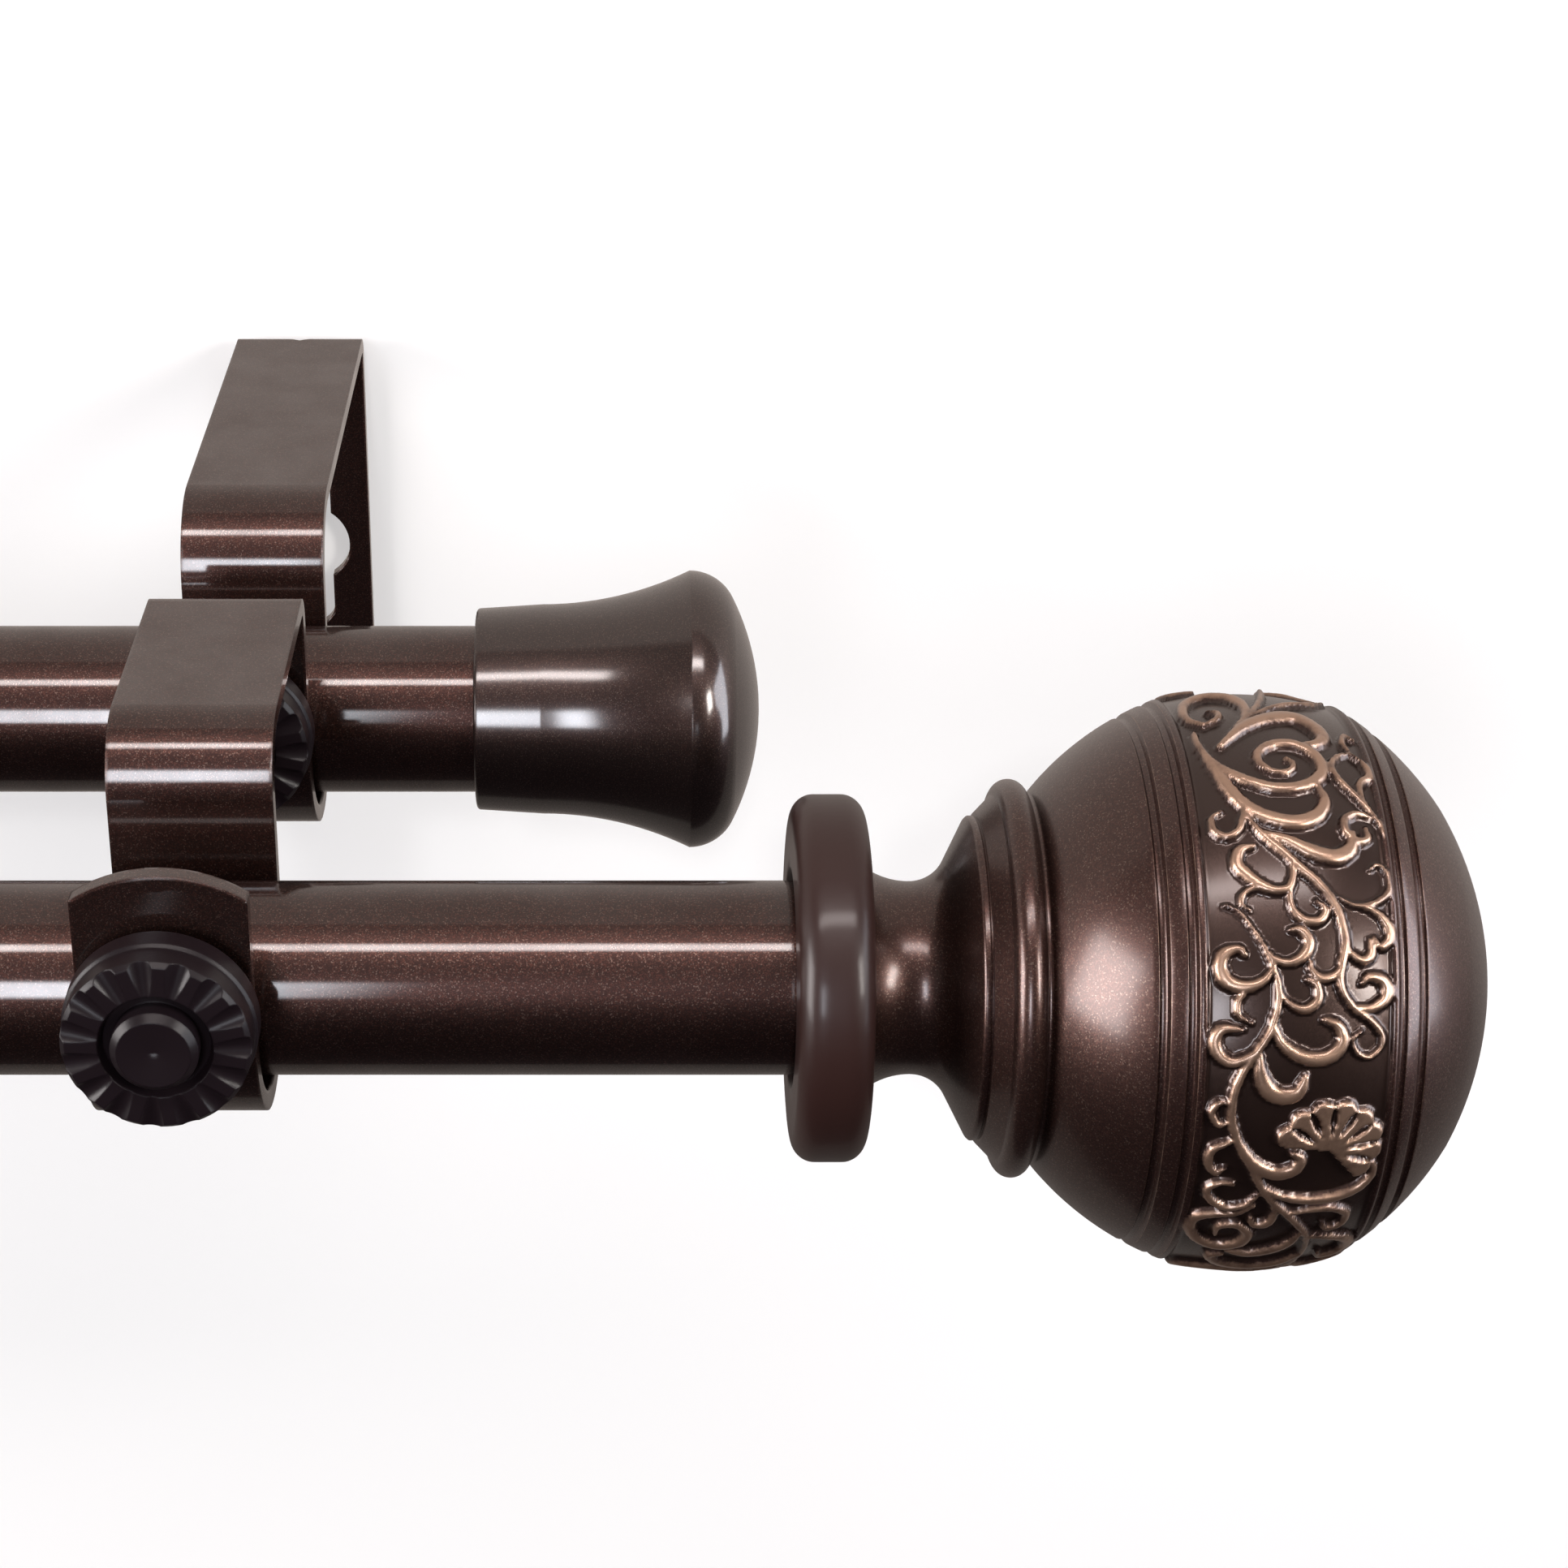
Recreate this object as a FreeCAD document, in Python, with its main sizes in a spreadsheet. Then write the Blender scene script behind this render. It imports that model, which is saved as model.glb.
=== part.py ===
import FreeCAD, Part
import math
import os
import re
import Sketcher
from FreeCAD import Placement, Rotation, Vector

# A double curtain pole set: two telescopic poles on two bent strap brackets, with a carved
# ball finial at each end of the front pole and a plain turned cap at each end of the back pole.
# Millimetres. X runs along the poles, +Y goes into the wall and +Z is up. The origin is the
# centre of the keyhole in the right bracket's wall plate, on the wall.

doc = FreeCAD.newDocument("double_curtain_pole")

# Driving sizes
SIZES = [
    ("pole_diameter", 25.4, "outer diameter of the outer tubes"),
    ("tube_wall", 0.6, "wall of every tube"),
    ("tube_slide_gap", 0.3, "radial gap between the inner and the outer tube"),
    ("front_free_end_gap", 102.0, "open end of a front tube to the spigot at the other end"),
    ("back_free_end_gap", 79.0, "open end of a back tube to the cap at the other end"),
    ("bracket_span", 620.0, "right bracket to left bracket, as set"),
    ("front_projection", 177.8, "wall to front pole axis"),
    ("back_projection", 100.8, "wall to back pole axis"),
    ("front_pole_rise", 9.7, "front pole axis above the keyhole centre"),
    ("back_pole_rise", 12.5, "back pole axis above the keyhole centre"),
    ("strap_width", 22.0, "bracket strap"),
    ("strap_thickness", 2.5, "bracket strap"),
    ("plate_drop", 39.4, "keyhole centre down to the plate's lower end"),
    ("back_arm_rise", 39.4, "keyhole centre up to the top of the back arm"),
    ("front_arm_rise", 38.7, "keyhole centre up to the top of the front arm"),
    ("wall_bend_radius", 1.2, "inside of the bend between plate and back arm"),
    ("back_arm_bend_radius", 10.0, "inside of the bend ahead of the back cup"),
    ("knee_bend_radius", 1.6, "inside of the bend between back cup and front arm"),
    ("front_arm_bend_radius", 7.0, "inside of the bend ahead of the front cup"),
    ("gusset_width", 6.0, "pressed gusset in the wall bend"),
    ("gusset_depth", 1.2, "pressed gusset in the wall bend"),
    ("cup_radius", 14.1, "inside of both cups"),
    ("cup_seat_gap", 0.1, "pole to the rear leg of its cup"),
    ("tab_shoulder_rise", 21.1, "front pole axis up to the tab's corners"),
    ("tab_arch_rise", 3.4, "corners up to the top of the tab's arch"),
    ("keyhole_radius", 7.3, "round part of the keyhole"),
    ("keyhole_slot_width", 8.1, "slots above and below the round part"),
    ("keyhole_slot_length", 32.4, "from end to end of both slots"),
    ("screw_diameter", 5.0, "thumb screw shank"),
    ("screw_tip_radius", 1.8, "flat tip of the shank"),
    ("screw_tip_length", 0.7, "chamfer at the tip"),
    ("screw_hole_gap", 0.05, "radial clearance in the tapped hole and in the knob"),
    ("screw_tip_gap", 0.3, "tip to the pole that it holds"),
    ("screw_rise", 6.0, "pole axis up to the screw axis"),
    ("screw_reach", 7.2, "tip to the back of the knob"),
    ("screw_grip", 5.2, "shank inside the knob"),
    ("knob_diameter", 24.3, "smooth back rim"),
    ("knob_depth", 8.0, "back of the knob to the fluted rim"),
    ("knob_rim_depth", 4.0, "smooth back rim"),
    ("knob_rim_step", 0.4, "smooth rim out past the fluted face"),
    ("knob_edge_chamfer", 0.6, "back edge and fluted edge"),
    ("knob_button_radius", 5.45, "centre button"),
    ("knob_button_rise", 1.8, "button ahead of the fluted rim"),
    ("knob_button_dish", 0.5, "hollow in the button's top"),
    ("knob_valley_width", 1.7, "ring round the button"),
    ("knob_valley_depth", 1.7, "ring below the fluted rim"),
    ("knob_flute_count", 15.0, "flutes in the face"),
    ("knob_flute_depth", 1.0, "flutes at the rim"),
    ("knob_flute_radius", 2.1, "flute's section at the rim"),
    ("finial_inset", 79.0, "bracket centre to the inner face of the finial collar"),
    ("collar_diameter", 48.0, "finial collar"),
    ("collar_thickness", 9.5, "finial collar"),
    ("collar_edge_radius", 3.0, "rounding of the collar's rim"),
    ("collar_recess_radius", 14.5, "recess round the pole"),
    ("collar_recess_depth", 3.0, "recess round the pole"),
    ("collar_spigot_gap", 0.1, "radial gap of the spigot inside the tube"),
    ("collar_spigot_length", 22.0, "spigot inside the tube"),
    ("stud_diameter", 8.0, "threaded stud between finial and collar"),
    ("stud_hole_gap", 0.1, "radial gap round the stud"),
    ("stud_in_collar", 20.0, "stud inside the collar"),
    ("stud_in_finial", 18.0, "stud inside the finial"),
    ("neck_foot_radius", 14.6, "finial neck at the collar"),
    ("neck_waist_radius", 12.6, "finial neck at its waist"),
    ("neck_waist_place", 6.0, "collar to the waist"),
    ("neck_flare_radius", 5.2, "hollow between the waist and the step"),
    ("neck_flare_run", 4.6, "waist to the end of that hollow"),
    ("shelf_radius", 21.2, "step behind the bead"),
    ("shelf_place", 13.4, "collar to the back of the step"),
    ("shelf_width", 1.2, "step behind the bead"),
    ("shelf_edge_chamfer", 0.3, "both edges of the step"),
    ("bead_foot_radius", 21.6, "bead where it leaves the step"),
    ("bead_radius", 26.0, "bead between neck and ball"),
    ("bead_place", 18.9, "collar to the top of the bead"),
    ("bead_round", 2.1, "rounding of the bead"),
    ("bead_groove_radius", 24.2, "groove between bead and ball"),
    ("bead_groove_place", 21.6, "collar to that groove"),
    ("band_near", 38.0, "collar to the near edge of the carved band"),
    ("band_near_radius", 36.36, "ball at that edge"),
    ("band_far", 60.7, "collar to the far edge of the carved band"),
    ("band_far_radius", 35.54, "ball at that edge"),
    ("band_depth", 0.7, "ground of the carved band, sunk below its edges"),
    ("relief_rise", 0.35, "face of the vine, raised above the band's edges"),
    ("shoulder_place", 73.0, "collar to where the ball's nose gets flatter"),
    ("shoulder_radius", 24.0, "ball there"),
    ("ball_length", 80.0, "collar to the tip of the ball"),
    ("groove_width", 1.3, "four turned grooves beside the band"),
    ("groove_near_outer", 33.5, "collar to the first groove"),
    ("groove_near_inner", 36.7, "collar to the second groove"),
    ("groove_far_inner", 61.9, "collar to the third groove"),
    ("groove_far_outer", 64.9, "collar to the fourth groove"),
    ("cap_inset", 35.0, "bracket centre to the open edge of the back cap"),
    ("cap_mouth_radius", 15.4, "cap at its open edge"),
    ("cap_waist_radius", 16.0, "cap where the flare begins"),
    ("cap_waist_place", 10.0, "open edge to there"),
    ("cap_rim_radius", 21.15, "widest section of the cap"),
    ("cap_rim_place", 32.4, "open edge to the widest section"),
    ("cap_length", 43.0, "open edge to the tip"),
    ("cap_edge_radius", 0.6, "rounding of the open edge"),
    ("cap_bore_gap", 0.1, "radial gap round the tube"),
    ("cap_bore_depth", 25.0, "open edge to the floor of the socket"),
]
SHEET = "Sizes"
sheet = doc.addObject("Spreadsheet::Sheet", SHEET)
for row, (alias, number, meaning) in enumerate(SIZES, 1):
    sheet.set(f"A{row}", meaning)
    sheet.set(f"B{row}", str(number))
    sheet.setAlias(f"B{row}", alias)
doc.recompute()
ALIASES = {alias for alias, number, meaning in SIZES}

pieces = []


def bound(text):
    """Write a rule of sizes as the document's expression, with each size read from the sheet."""
    def from_sheet(match):
        word = match.group()
        return f"{SHEET}.{word}" if word in ALIASES else word
    return re.sub(r"[a-z][a-z_]+", from_sheet, text)


def worth(text):
    """The number that a rule of sizes gives now."""
    return float(sheet.evalExpression(bound(text)))


# Sketches and bodies
def origin_of(body, role):
    """One of the body's own origin planes or axes."""
    return next(item for item in body.Origin.OriginFeatures if item.Role == role)


def body_named(label, x="0", y="0", z="0", turn=None):
    """Start a piece whose place follows the sheet. turn is its fixed Rotation."""
    body = doc.addObject("PartDesign::Body", label)
    body.Label = label
    body.Placement = Placement(Vector(0, 0, 0), turn or Rotation())
    for axis, rule in (("x", x), ("y", y), ("z", z)):
        body.setExpression(f"Placement.Base.{axis}", bound(rule))
    pieces.append(body)
    return body


def sketch_on(body, role, name, offset="0"):
    """Put an empty sketch on one of the body's own origin planes, moved out by a rule."""
    sketch = body.newObject("Sketcher::SketchObject", name)
    sketch.AttachmentSupport = (origin_of(body, role), [""])
    sketch.MapMode = "FlatFace"
    if offset != "0":
        sketch.setExpression("AttachmentOffset.Base.z", bound(offset))
    return sketch


def pin(sketch, geometry, point, x=None, y=None):
    """Hold one point of a sketch at a place given by rules, or one of its coordinates."""
    for kind, rule, axis in (("DistanceX", x, -2), ("DistanceY", y, -1)):
        if rule is None:
            continue
        if rule == "0":
            sketch.addConstraint(Sketcher.Constraint("PointOnObject", geometry, point, axis))
            continue
        constraint = Sketcher.Constraint(kind, -1, 1, geometry, point, worth(rule))
        index = sketch.addConstraint(constraint)
        sketch.setExpression(f"Constraints[{index}]", bound(rule))


def short_arc(start, end, centre):
    """The short arc between two points round a centre, and whether it runs from start to
    end. A sketch's arcs always run anticlockwise."""
    first = math.atan2(start.y - centre.y, start.x - centre.x)
    last = math.atan2(end.y - centre.y, end.x - centre.x)
    sweep = (last - first) % (2 * math.pi)
    circle = Part.Circle(centre, Vector(0, 0, 1), start.distanceToPoint(centre))
    if sweep < math.pi:
        return Part.ArcOfCircle(circle, first, first + sweep), True
    return Part.ArcOfCircle(circle, last, last + 2 * math.pi - sweep), False


def outline(sketch, corners):
    """Draw a closed outline. A corner is (x, y), or (x, y, centre x, centre y) where a short
    arc round that centre leads on from it to the next corner."""
    spots = [Vector(worth(corner[0]), worth(corner[1]), 0) for corner in corners]
    ends = []
    for index, corner in enumerate(corners):
        start = spots[index]
        end = spots[(index + 1) % len(spots)]
        if len(corner) == 2:
            number = sketch.addGeometry(Part.LineSegment(start, end), False)
            ends.append((number, 1, 2))
            continue
        centre = Vector(worth(corner[2]), worth(corner[3]), 0)
        arc, forward = short_arc(start, end, centre)
        number = sketch.addGeometry(arc, False)
        ends.append((number, 1, 2) if forward else (number, 2, 1))
    for index, corner in enumerate(corners):
        number, first, last = ends[index]
        following, start, end = ends[(index + 1) % len(ends)]
        sketch.addConstraint(Sketcher.Constraint("Coincident", number, last, following, start))
        before = corners[index - 1]
        if len(before) == 2:
            pin(sketch, number, first, corner[0], corner[1])
        else:
            # After an arc one coordinate is enough, the one along which the arc arrives
            spoke = spots[index] - Vector(worth(before[2]), worth(before[3]), 0)
            if abs(spoke.y) > abs(spoke.x):
                pin(sketch, number, first, x=corner[0])
            else:
                pin(sketch, number, first, y=corner[1])
        if len(corner) > 2:
            pin(sketch, number, 3, corner[2], corner[3])


def ring(sketch, radius, x="0", y="0"):
    """Draw a circle of a radius and at a place given by rules."""
    centre = Vector(worth(x), worth(y), 0)
    number = sketch.addGeometry(Part.Circle(centre, Vector(0, 0, 1), worth(radius)), False)
    index = sketch.addConstraint(Sketcher.Constraint("Radius", number, worth(radius)))
    sketch.setExpression(f"Constraints[{index}]", bound(radius))
    pin(sketch, number, 3, x, y)


def turned(body, name, corners, axis="H_Axis", role="XY_Plane"):
    """Turn an outline about one of its sketch's axes."""
    sketch = sketch_on(body, role, f"{name}_outline")
    outline(sketch, corners)
    turning = body.newObject("PartDesign::Revolution", name)
    turning.Profile = sketch
    turning.ReferenceAxis = (sketch, [axis])
    turning.Angle = 360
    doc.recompute()
    return turning


def cut_through(body, name, sketch, depth):
    """Pocket a sketch towards the room, and stop if it takes nothing away."""
    before = body.Tip.Shape.Volume
    pocket = body.newObject("PartDesign::Pocket", name)
    pocket.Profile = sketch
    pocket.Reversed = True
    pocket.setExpression("Length", bound(depth))
    doc.recompute()
    if pocket.Shape.Volume > before - 0.01:
        raise RuntimeError(f"{name} cuts nothing")


# Tubes
OUTER_RADIUS = "pole_diameter / 2"
INNER_RADIUS = "(pole_diameter / 2 - tube_wall - tube_slide_gap)"
FRONT_TUBE_END = "(finial_inset + collar_recess_depth)"
BACK_TUBE_END = "(cap_inset + cap_bore_depth)"
SPIGOT_END = f"({FRONT_TUBE_END} - collar_spigot_length)"
FRONT_TUBE_LENGTH = f"({FRONT_TUBE_END} + bracket_span + {SPIGOT_END} - front_free_end_gap)"
BACK_TUBE_LENGTH = f"({BACK_TUBE_END} + bracket_span + cap_inset - back_free_end_gap)"


def tube(label, radius, length, x, y, z):
    """A steel tube along X whose left end stands at x."""
    body = body_named(label, x, y, z)
    sketch = sketch_on(body, "YZ_Plane", f"{label}_section")
    ring(sketch, radius)
    ring(sketch, f"{radius} - tube_wall")
    pad = body.newObject("PartDesign::Pad", f"{label}_length")
    pad.Profile = sketch
    pad.setExpression("Length", bound(length))
    doc.recompute()


FRONT_AXIS = ("-front_projection", "front_pole_rise")
BACK_AXIS = ("-back_projection", "back_pole_rise")
tube("front_outer_tube", OUTER_RADIUS, FRONT_TUBE_LENGTH,
     f"{FRONT_TUBE_END} - {FRONT_TUBE_LENGTH}", *FRONT_AXIS)
tube("front_inner_tube", INNER_RADIUS, FRONT_TUBE_LENGTH,
     f"-bracket_span - {FRONT_TUBE_END}", *FRONT_AXIS)
tube("back_outer_tube", OUTER_RADIUS, BACK_TUBE_LENGTH,
     f"{BACK_TUBE_END} - {BACK_TUBE_LENGTH}", *BACK_AXIS)
tube("back_inner_tube", INNER_RADIUS, BACK_TUBE_LENGTH,
     f"-bracket_span - {BACK_TUBE_END}", *BACK_AXIS)


# Brackets
# One steel strap is bent into the wall plate, two level arms and two hanging cups. Its side
# view is drawn from the plate's lower end to the top of the front tab, and back.
MID_CUP = "(cup_radius + strap_thickness / 2)"
BACK_CUP_Y = "(-back_projection + pole_diameter / 2 + cup_seat_gap - cup_radius)"
FRONT_CUP_Y = "(-front_projection + pole_diameter / 2 + cup_seat_gap - cup_radius)"


def strap_side(out):
    """One face of the strap in side view, a rule's distance outside its middle line."""
    half = "strap_thickness / 2"
    plate = f"(-{half} + {out})"
    back_arm = f"(back_arm_rise - {half})"
    front_arm = f"(front_arm_rise - {half})"
    wall_bend = f"(wall_bend_radius + {half})"
    back_bend = f"(back_arm_bend_radius + {half})"
    knee = f"(knee_bend_radius + {half})"
    front_bend = f"(front_arm_bend_radius + {half})"
    cup = f"({MID_CUP} - {out})"
    corners = [
        (plate, "-plate_drop"),
        (plate, f"{back_arm} - {wall_bend}", f"-{half} - {wall_bend}", f"{back_arm} - {wall_bend}"),
        (f"-{half} - {wall_bend}", f"{back_arm} + {out}"),
    ]
    for centre, rise, bend, arm in (
            (BACK_CUP_Y, "back_pole_rise", back_bend, back_arm),
            (FRONT_CUP_Y, "front_pole_rise", front_bend, front_arm)):
        bend_y = f"{centre} + {MID_CUP} + {bend}"
        corners += [
            (bend_y, f"{arm} + {out}", bend_y, f"{arm} - {bend}"),
            (f"{centre} + {cup}", f"{arm} - {bend}"),
            (f"{centre} + {cup}", rise, centre, rise),
            (centre, f"{rise} - {cup}", centre, rise),
            (f"{centre} - {cup}", rise),
        ]
        if centre == BACK_CUP_Y:
            knee_y = f"{centre} - {MID_CUP} - {knee}"
            corners += [
                (f"{centre} - {cup}", f"{front_arm} - {knee}", knee_y, f"{front_arm} - {knee}"),
                (knee_y, f"{front_arm} + {out}"),
            ]
    corners.append((f"{FRONT_CUP_Y} - {cup}", "front_pole_rise + tab_shoulder_rise + tab_arch_rise"))
    return corners


def run_backwards(corners):
    """The same open run of corners from its far end."""
    turned_over = []
    for index in range(len(corners) - 1, -1, -1):
        place = corners[index][:2]
        arc = corners[index - 1][2:] if index else ()
        turned_over.append(place + arc)
    return turned_over


def across_wall_bend(body, name):
    """An empty sketch on the plane that halves the wall bend. Its zero is the bend's sharp
    outer corner, and its Y points out of the bend."""
    sketch = sketch_on(body, "XZ_Plane", name)
    sketch.AttachmentOffset = Placement(Vector(0, 0, 0), Rotation(Vector(1, 0, 0), -45))
    sketch.setExpression("AttachmentOffset.Base.y", bound("back_arm_rise"))
    return sketch


def press_gusset(body, label):
    """The gusset that stiffens the wall bend: a V dented into its back and a rib inside it."""
    outside = "((wall_bend_radius + strap_thickness) * (sqrt(2) - 1))"
    inside = f"({outside} + strap_thickness)"
    edge = "gusset_width / 2"
    rib = across_wall_bend(body, f"{label}_gusset_rib_outline")
    outline(rib, [
        ("0", f"-{inside} - gusset_depth"),
        (edge, f"-{inside}"),
        (edge, f"-{inside} + strap_thickness / 4"),
        (f"-{edge}", f"-{inside} + strap_thickness / 4"),
        (f"-{edge}", f"-{inside}"),
    ])
    raised = body.newObject("PartDesign::Pad", f"{label}_gusset_rib")
    raised.Profile = rib
    raised.Midplane = True
    raised.setExpression("Length", bound("gusset_depth * 5"))
    doc.recompute()
    before = raised.Shape.Volume
    dent = across_wall_bend(body, f"{label}_gusset_dent_outline")
    flank = f"({edge} * ({outside} + gusset_depth) / gusset_depth)"
    outline(dent, [
        ("0", f"-{outside} - gusset_depth"),
        (flank, "0"),
        (f"-{flank}", "0"),
    ])
    dented = body.newObject("PartDesign::Pocket", f"{label}_gusset_dent")
    dented.Profile = dent
    dented.Midplane = True
    dented.setExpression("Length", bound("gusset_depth * 10"))
    doc.recompute()
    if dented.Shape.Volume > before - 0.01:
        raise RuntimeError(f"{label} gusset cuts nothing")


def bracket(label, x):
    """The bent strap with its gusset, its keyhole, its two tapped holes and its arched tab."""
    body = body_named(label, x)
    side_view = sketch_on(body, "YZ_Plane", f"{label}_side_view", "-strap_width / 2")
    half = "strap_thickness / 2"
    outline(side_view, strap_side(half) + run_backwards(strap_side(f"(-{half})")))
    strap = body.newObject("PartDesign::Pad", f"{label}_strap")
    strap.Profile = side_view
    strap.setExpression("Length", bound("strap_width"))
    doc.recompute()
    press_gusset(body, label)
    # The keyhole is a round hole for the screw's head with a slot above and below it
    hole = sketch_on(body, "XZ_Plane", f"{label}_keyhole_round")
    ring(hole, "keyhole_radius")
    cut_through(body, f"{label}_keyhole_hole", hole, "strap_thickness * 2")
    slot = sketch_on(body, "XZ_Plane", f"{label}_keyhole_slot")
    side = "keyhole_slot_width / 2"
    top = f"(keyhole_slot_length / 2 - {side})"
    outline(slot, [
        (side, f"-{top}"),
        (side, top, "0", top),
        ("0", f"{top} + {side}", "0", top),
        (f"-{side}", top),
        (f"-{side}", f"-{top}", "0", f"-{top}"),
        ("0", f"-{top} - {side}", "0", f"-{top}"),
    ])
    cut_through(body, f"{label}_keyhole_slots", slot, "strap_thickness * 2")
    # The tapped holes take the thumb screws, in the rear cup's front leg and in the tab
    for name, cup, rise in (("back", BACK_CUP_Y, "back_pole_rise"),
                            ("front", FRONT_CUP_Y, "front_pole_rise")):
        tapped = sketch_on(body, "XZ_Plane", f"{label}_{name}_tapped_hole", f"-({cup}) + cup_radius")
        ring(tapped, "screw_diameter / 2 + screw_hole_gap", "0", f"{rise} + screw_rise")
        cut_through(body, f"{label}_{name}_thread", tapped, "strap_thickness * 2")
    # The tab's top is arched: what lies above the arch is cut away
    crown = sketch_on(body, "XZ_Plane", f"{label}_tab_arch", f"-({FRONT_CUP_Y}) + cup_radius")
    edge = "strap_width / 2"
    shoulder = "(front_pole_rise + tab_shoulder_rise)"
    arch_radius = f"(({edge}) ^ 2 + tab_arch_rise ^ 2) / (2 * tab_arch_rise)"
    outline(crown, [
        (edge, shoulder),
        (f"{edge} + strap_thickness", shoulder),
        (f"{edge} + strap_thickness", f"{shoulder} + tab_arch_rise + strap_thickness"),
        (f"-({edge}) - strap_thickness", f"{shoulder} + tab_arch_rise + strap_thickness"),
        (f"-({edge}) - strap_thickness", shoulder),
        (f"-({edge})", shoulder, "0", f"{shoulder} + tab_arch_rise - {arch_radius}"),
    ])
    cut_through(body, f"{label}_tab_crown", crown, "strap_thickness * 2")


RIGHT = "0"
LEFT = "-bracket_span"
bracket("right_bracket", RIGHT)
bracket("left_bracket", LEFT)


# Thumb screws
# Each has a steel shank and a plastic knob. Their own Z axis leaves the pole and points at the
# room, and its zero is the pole's axis.
FACING_ROOM = Rotation(Vector(1, 0, 0), 90)


def screw_tip(radius):
    """Place of the tip, clear of the highest point that the tip's disc meets on the pole."""
    return f"(sqrt(({radius}) ^ 2 - (screw_rise - screw_tip_radius) ^ 2) + screw_tip_gap)"


def screw_shank(label, x, y, z, radius):
    """The shank: a plain round with a chamfered tip."""
    body = body_named(label, x, f"{y} - {screw_tip(radius)}", f"{z} + screw_rise", FACING_ROOM)
    turned(body, f"{label}_round", [
        ("0", "0"),
        ("screw_tip_radius", "0"),
        ("screw_diameter / 2", "screw_tip_length"),
        ("screw_diameter / 2", "screw_reach + screw_grip"),
        ("0", "screw_reach + screw_grip"),
    ], "V_Axis", "XZ_Plane")


def knob(label, x, y, z, radius):
    """The knob: a smooth rim, a fluted face, a ring valley and a dished button."""
    place = f"{y} - {screw_tip(radius)} - screw_reach"
    body = body_named(label, x, place, f"{z} + screw_rise", FACING_ROOM)
    rim = "knob_diameter / 2"
    face = f"({rim} - knob_rim_step)"
    valley = "(knob_depth - knob_valley_depth)"
    bore = "(screw_diameter / 2 + screw_hole_gap)"
    bore_floor = "(screw_grip + screw_tip_gap)"
    crown = "(knob_depth + knob_button_rise)"
    turned(body, f"{label}_round", [
        ("0", bore_floor),
        (bore, bore_floor),
        (bore, "0"),
        (f"{rim} - knob_edge_chamfer", "0"),
        (rim, "knob_edge_chamfer"),
        (rim, "knob_rim_depth - knob_rim_step"),
        (face, "knob_rim_depth"),
        (face, "knob_depth - knob_edge_chamfer"),
        (f"{face} - knob_edge_chamfer", "knob_depth"),
        ("knob_button_radius + knob_valley_width", "knob_depth"),
        ("knob_button_radius + knob_valley_width * 0.7", valley),
        ("knob_button_radius", valley),
        ("knob_button_radius", f"{crown} - knob_button_rise / 2"),
        ("knob_button_radius - knob_button_rise / 2", crown),
        ("0", f"{crown} - knob_button_dish"),
    ], "V_Axis", "XZ_Plane")
    # A flute is a cone lying across the face, widest at the rim
    flute = body.newObject("PartDesign::SubtractiveCone", f"{label}_flute")
    start = "(knob_button_radius + knob_valley_width * 0.6)"
    lift = "(knob_depth + knob_flute_radius - knob_flute_depth)"
    flute.Placement = Placement(Vector(0, 0, 0), Rotation(Vector(0, 1, 0), 90))
    flute.setExpression("Radius1", bound(f"knob_flute_radius * {start} / ({rim})"))
    flute.setExpression("Radius2", bound("knob_flute_radius"))
    flute.setExpression("Height", bound(f"{rim} - {start}"))
    flute.setExpression("Placement.Base.x", bound(start))
    flute.setExpression("Placement.Base.z", bound(lift))
    doc.recompute()
    flutes = body.newObject("PartDesign::PolarPattern", f"{label}_flutes")
    flutes.Originals = [flute]
    flutes.Axis = (origin_of(body, "Z_Axis"), [""])
    flutes.Angle = 360
    flutes.setExpression("Occurrences", bound("knob_flute_count"))
    body.Tip = flutes
    doc.recompute()


for side, x, radius in (("right", RIGHT, OUTER_RADIUS), ("left", LEFT, INNER_RADIUS)):
    for name, axis in (("front", FRONT_AXIS), ("back", BACK_AXIS)):
        screw_shank(f"{side}_{name}_screw_shank", x, *axis, radius)
        knob(f"{side}_{name}_knob", x, *axis, radius)


# Pole ends
# The left end is the right end turned half round. On each piece's own X axis, zero is the
# inner face of the collar or the open edge of the cap, and X runs away from the poles.
TURNED_ROUND = Rotation(Vector(0, 0, 1), 180)
ENDS = (
    ("right", 1, "", None),
    ("left", -1, "-bracket_span - ", TURNED_ROUND),
)


def tube_bore(way):
    """Radius inside the tube that an end piece enters: outer tube right, inner tube left."""
    if way > 0:
        return f"({OUTER_RADIUS} - tube_wall)"
    return f"({INNER_RADIUS} - tube_wall)"


def finial_collar(label, x, way, turn):
    """A moulded disc with a rounded rim, a recess round the pole and a spigot in the tube."""
    body = body_named(label, x, *FRONT_AXIS, turn)
    rim = "collar_diameter / 2"
    edge = f"({rim} - collar_edge_radius)"
    bore = "(stud_diameter / 2 + stud_hole_gap)"
    spigot = f"({tube_bore(way)} - collar_spigot_gap)"
    turned(body, f"{label}_round", [
        ("collar_recess_depth - collar_spigot_length", bore),
        ("collar_thickness", bore),
        ("collar_thickness", edge, "collar_thickness - collar_edge_radius", edge),
        ("collar_thickness - collar_edge_radius", rim),
        ("collar_edge_radius", rim, "collar_edge_radius", edge),
        ("0", edge),
        ("0", "collar_recess_radius"),
        ("collar_recess_depth", "collar_recess_radius"),
        ("collar_recess_depth", spigot),
        ("collar_recess_depth - collar_spigot_length", spigot),
    ])


def finial_stud(label, x, turn):
    """The plain core of the threaded stud that draws the finial against its collar."""
    body = body_named(label, x, *FRONT_AXIS, turn)
    turned(body, f"{label}_round", [
        ("collar_thickness - stud_in_collar", "0"),
        ("collar_thickness + stud_in_finial", "0"),
        ("collar_thickness + stud_in_finial", "stud_diameter / 2"),
        ("collar_thickness - stud_in_collar", "stud_diameter / 2"),
    ])


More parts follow.
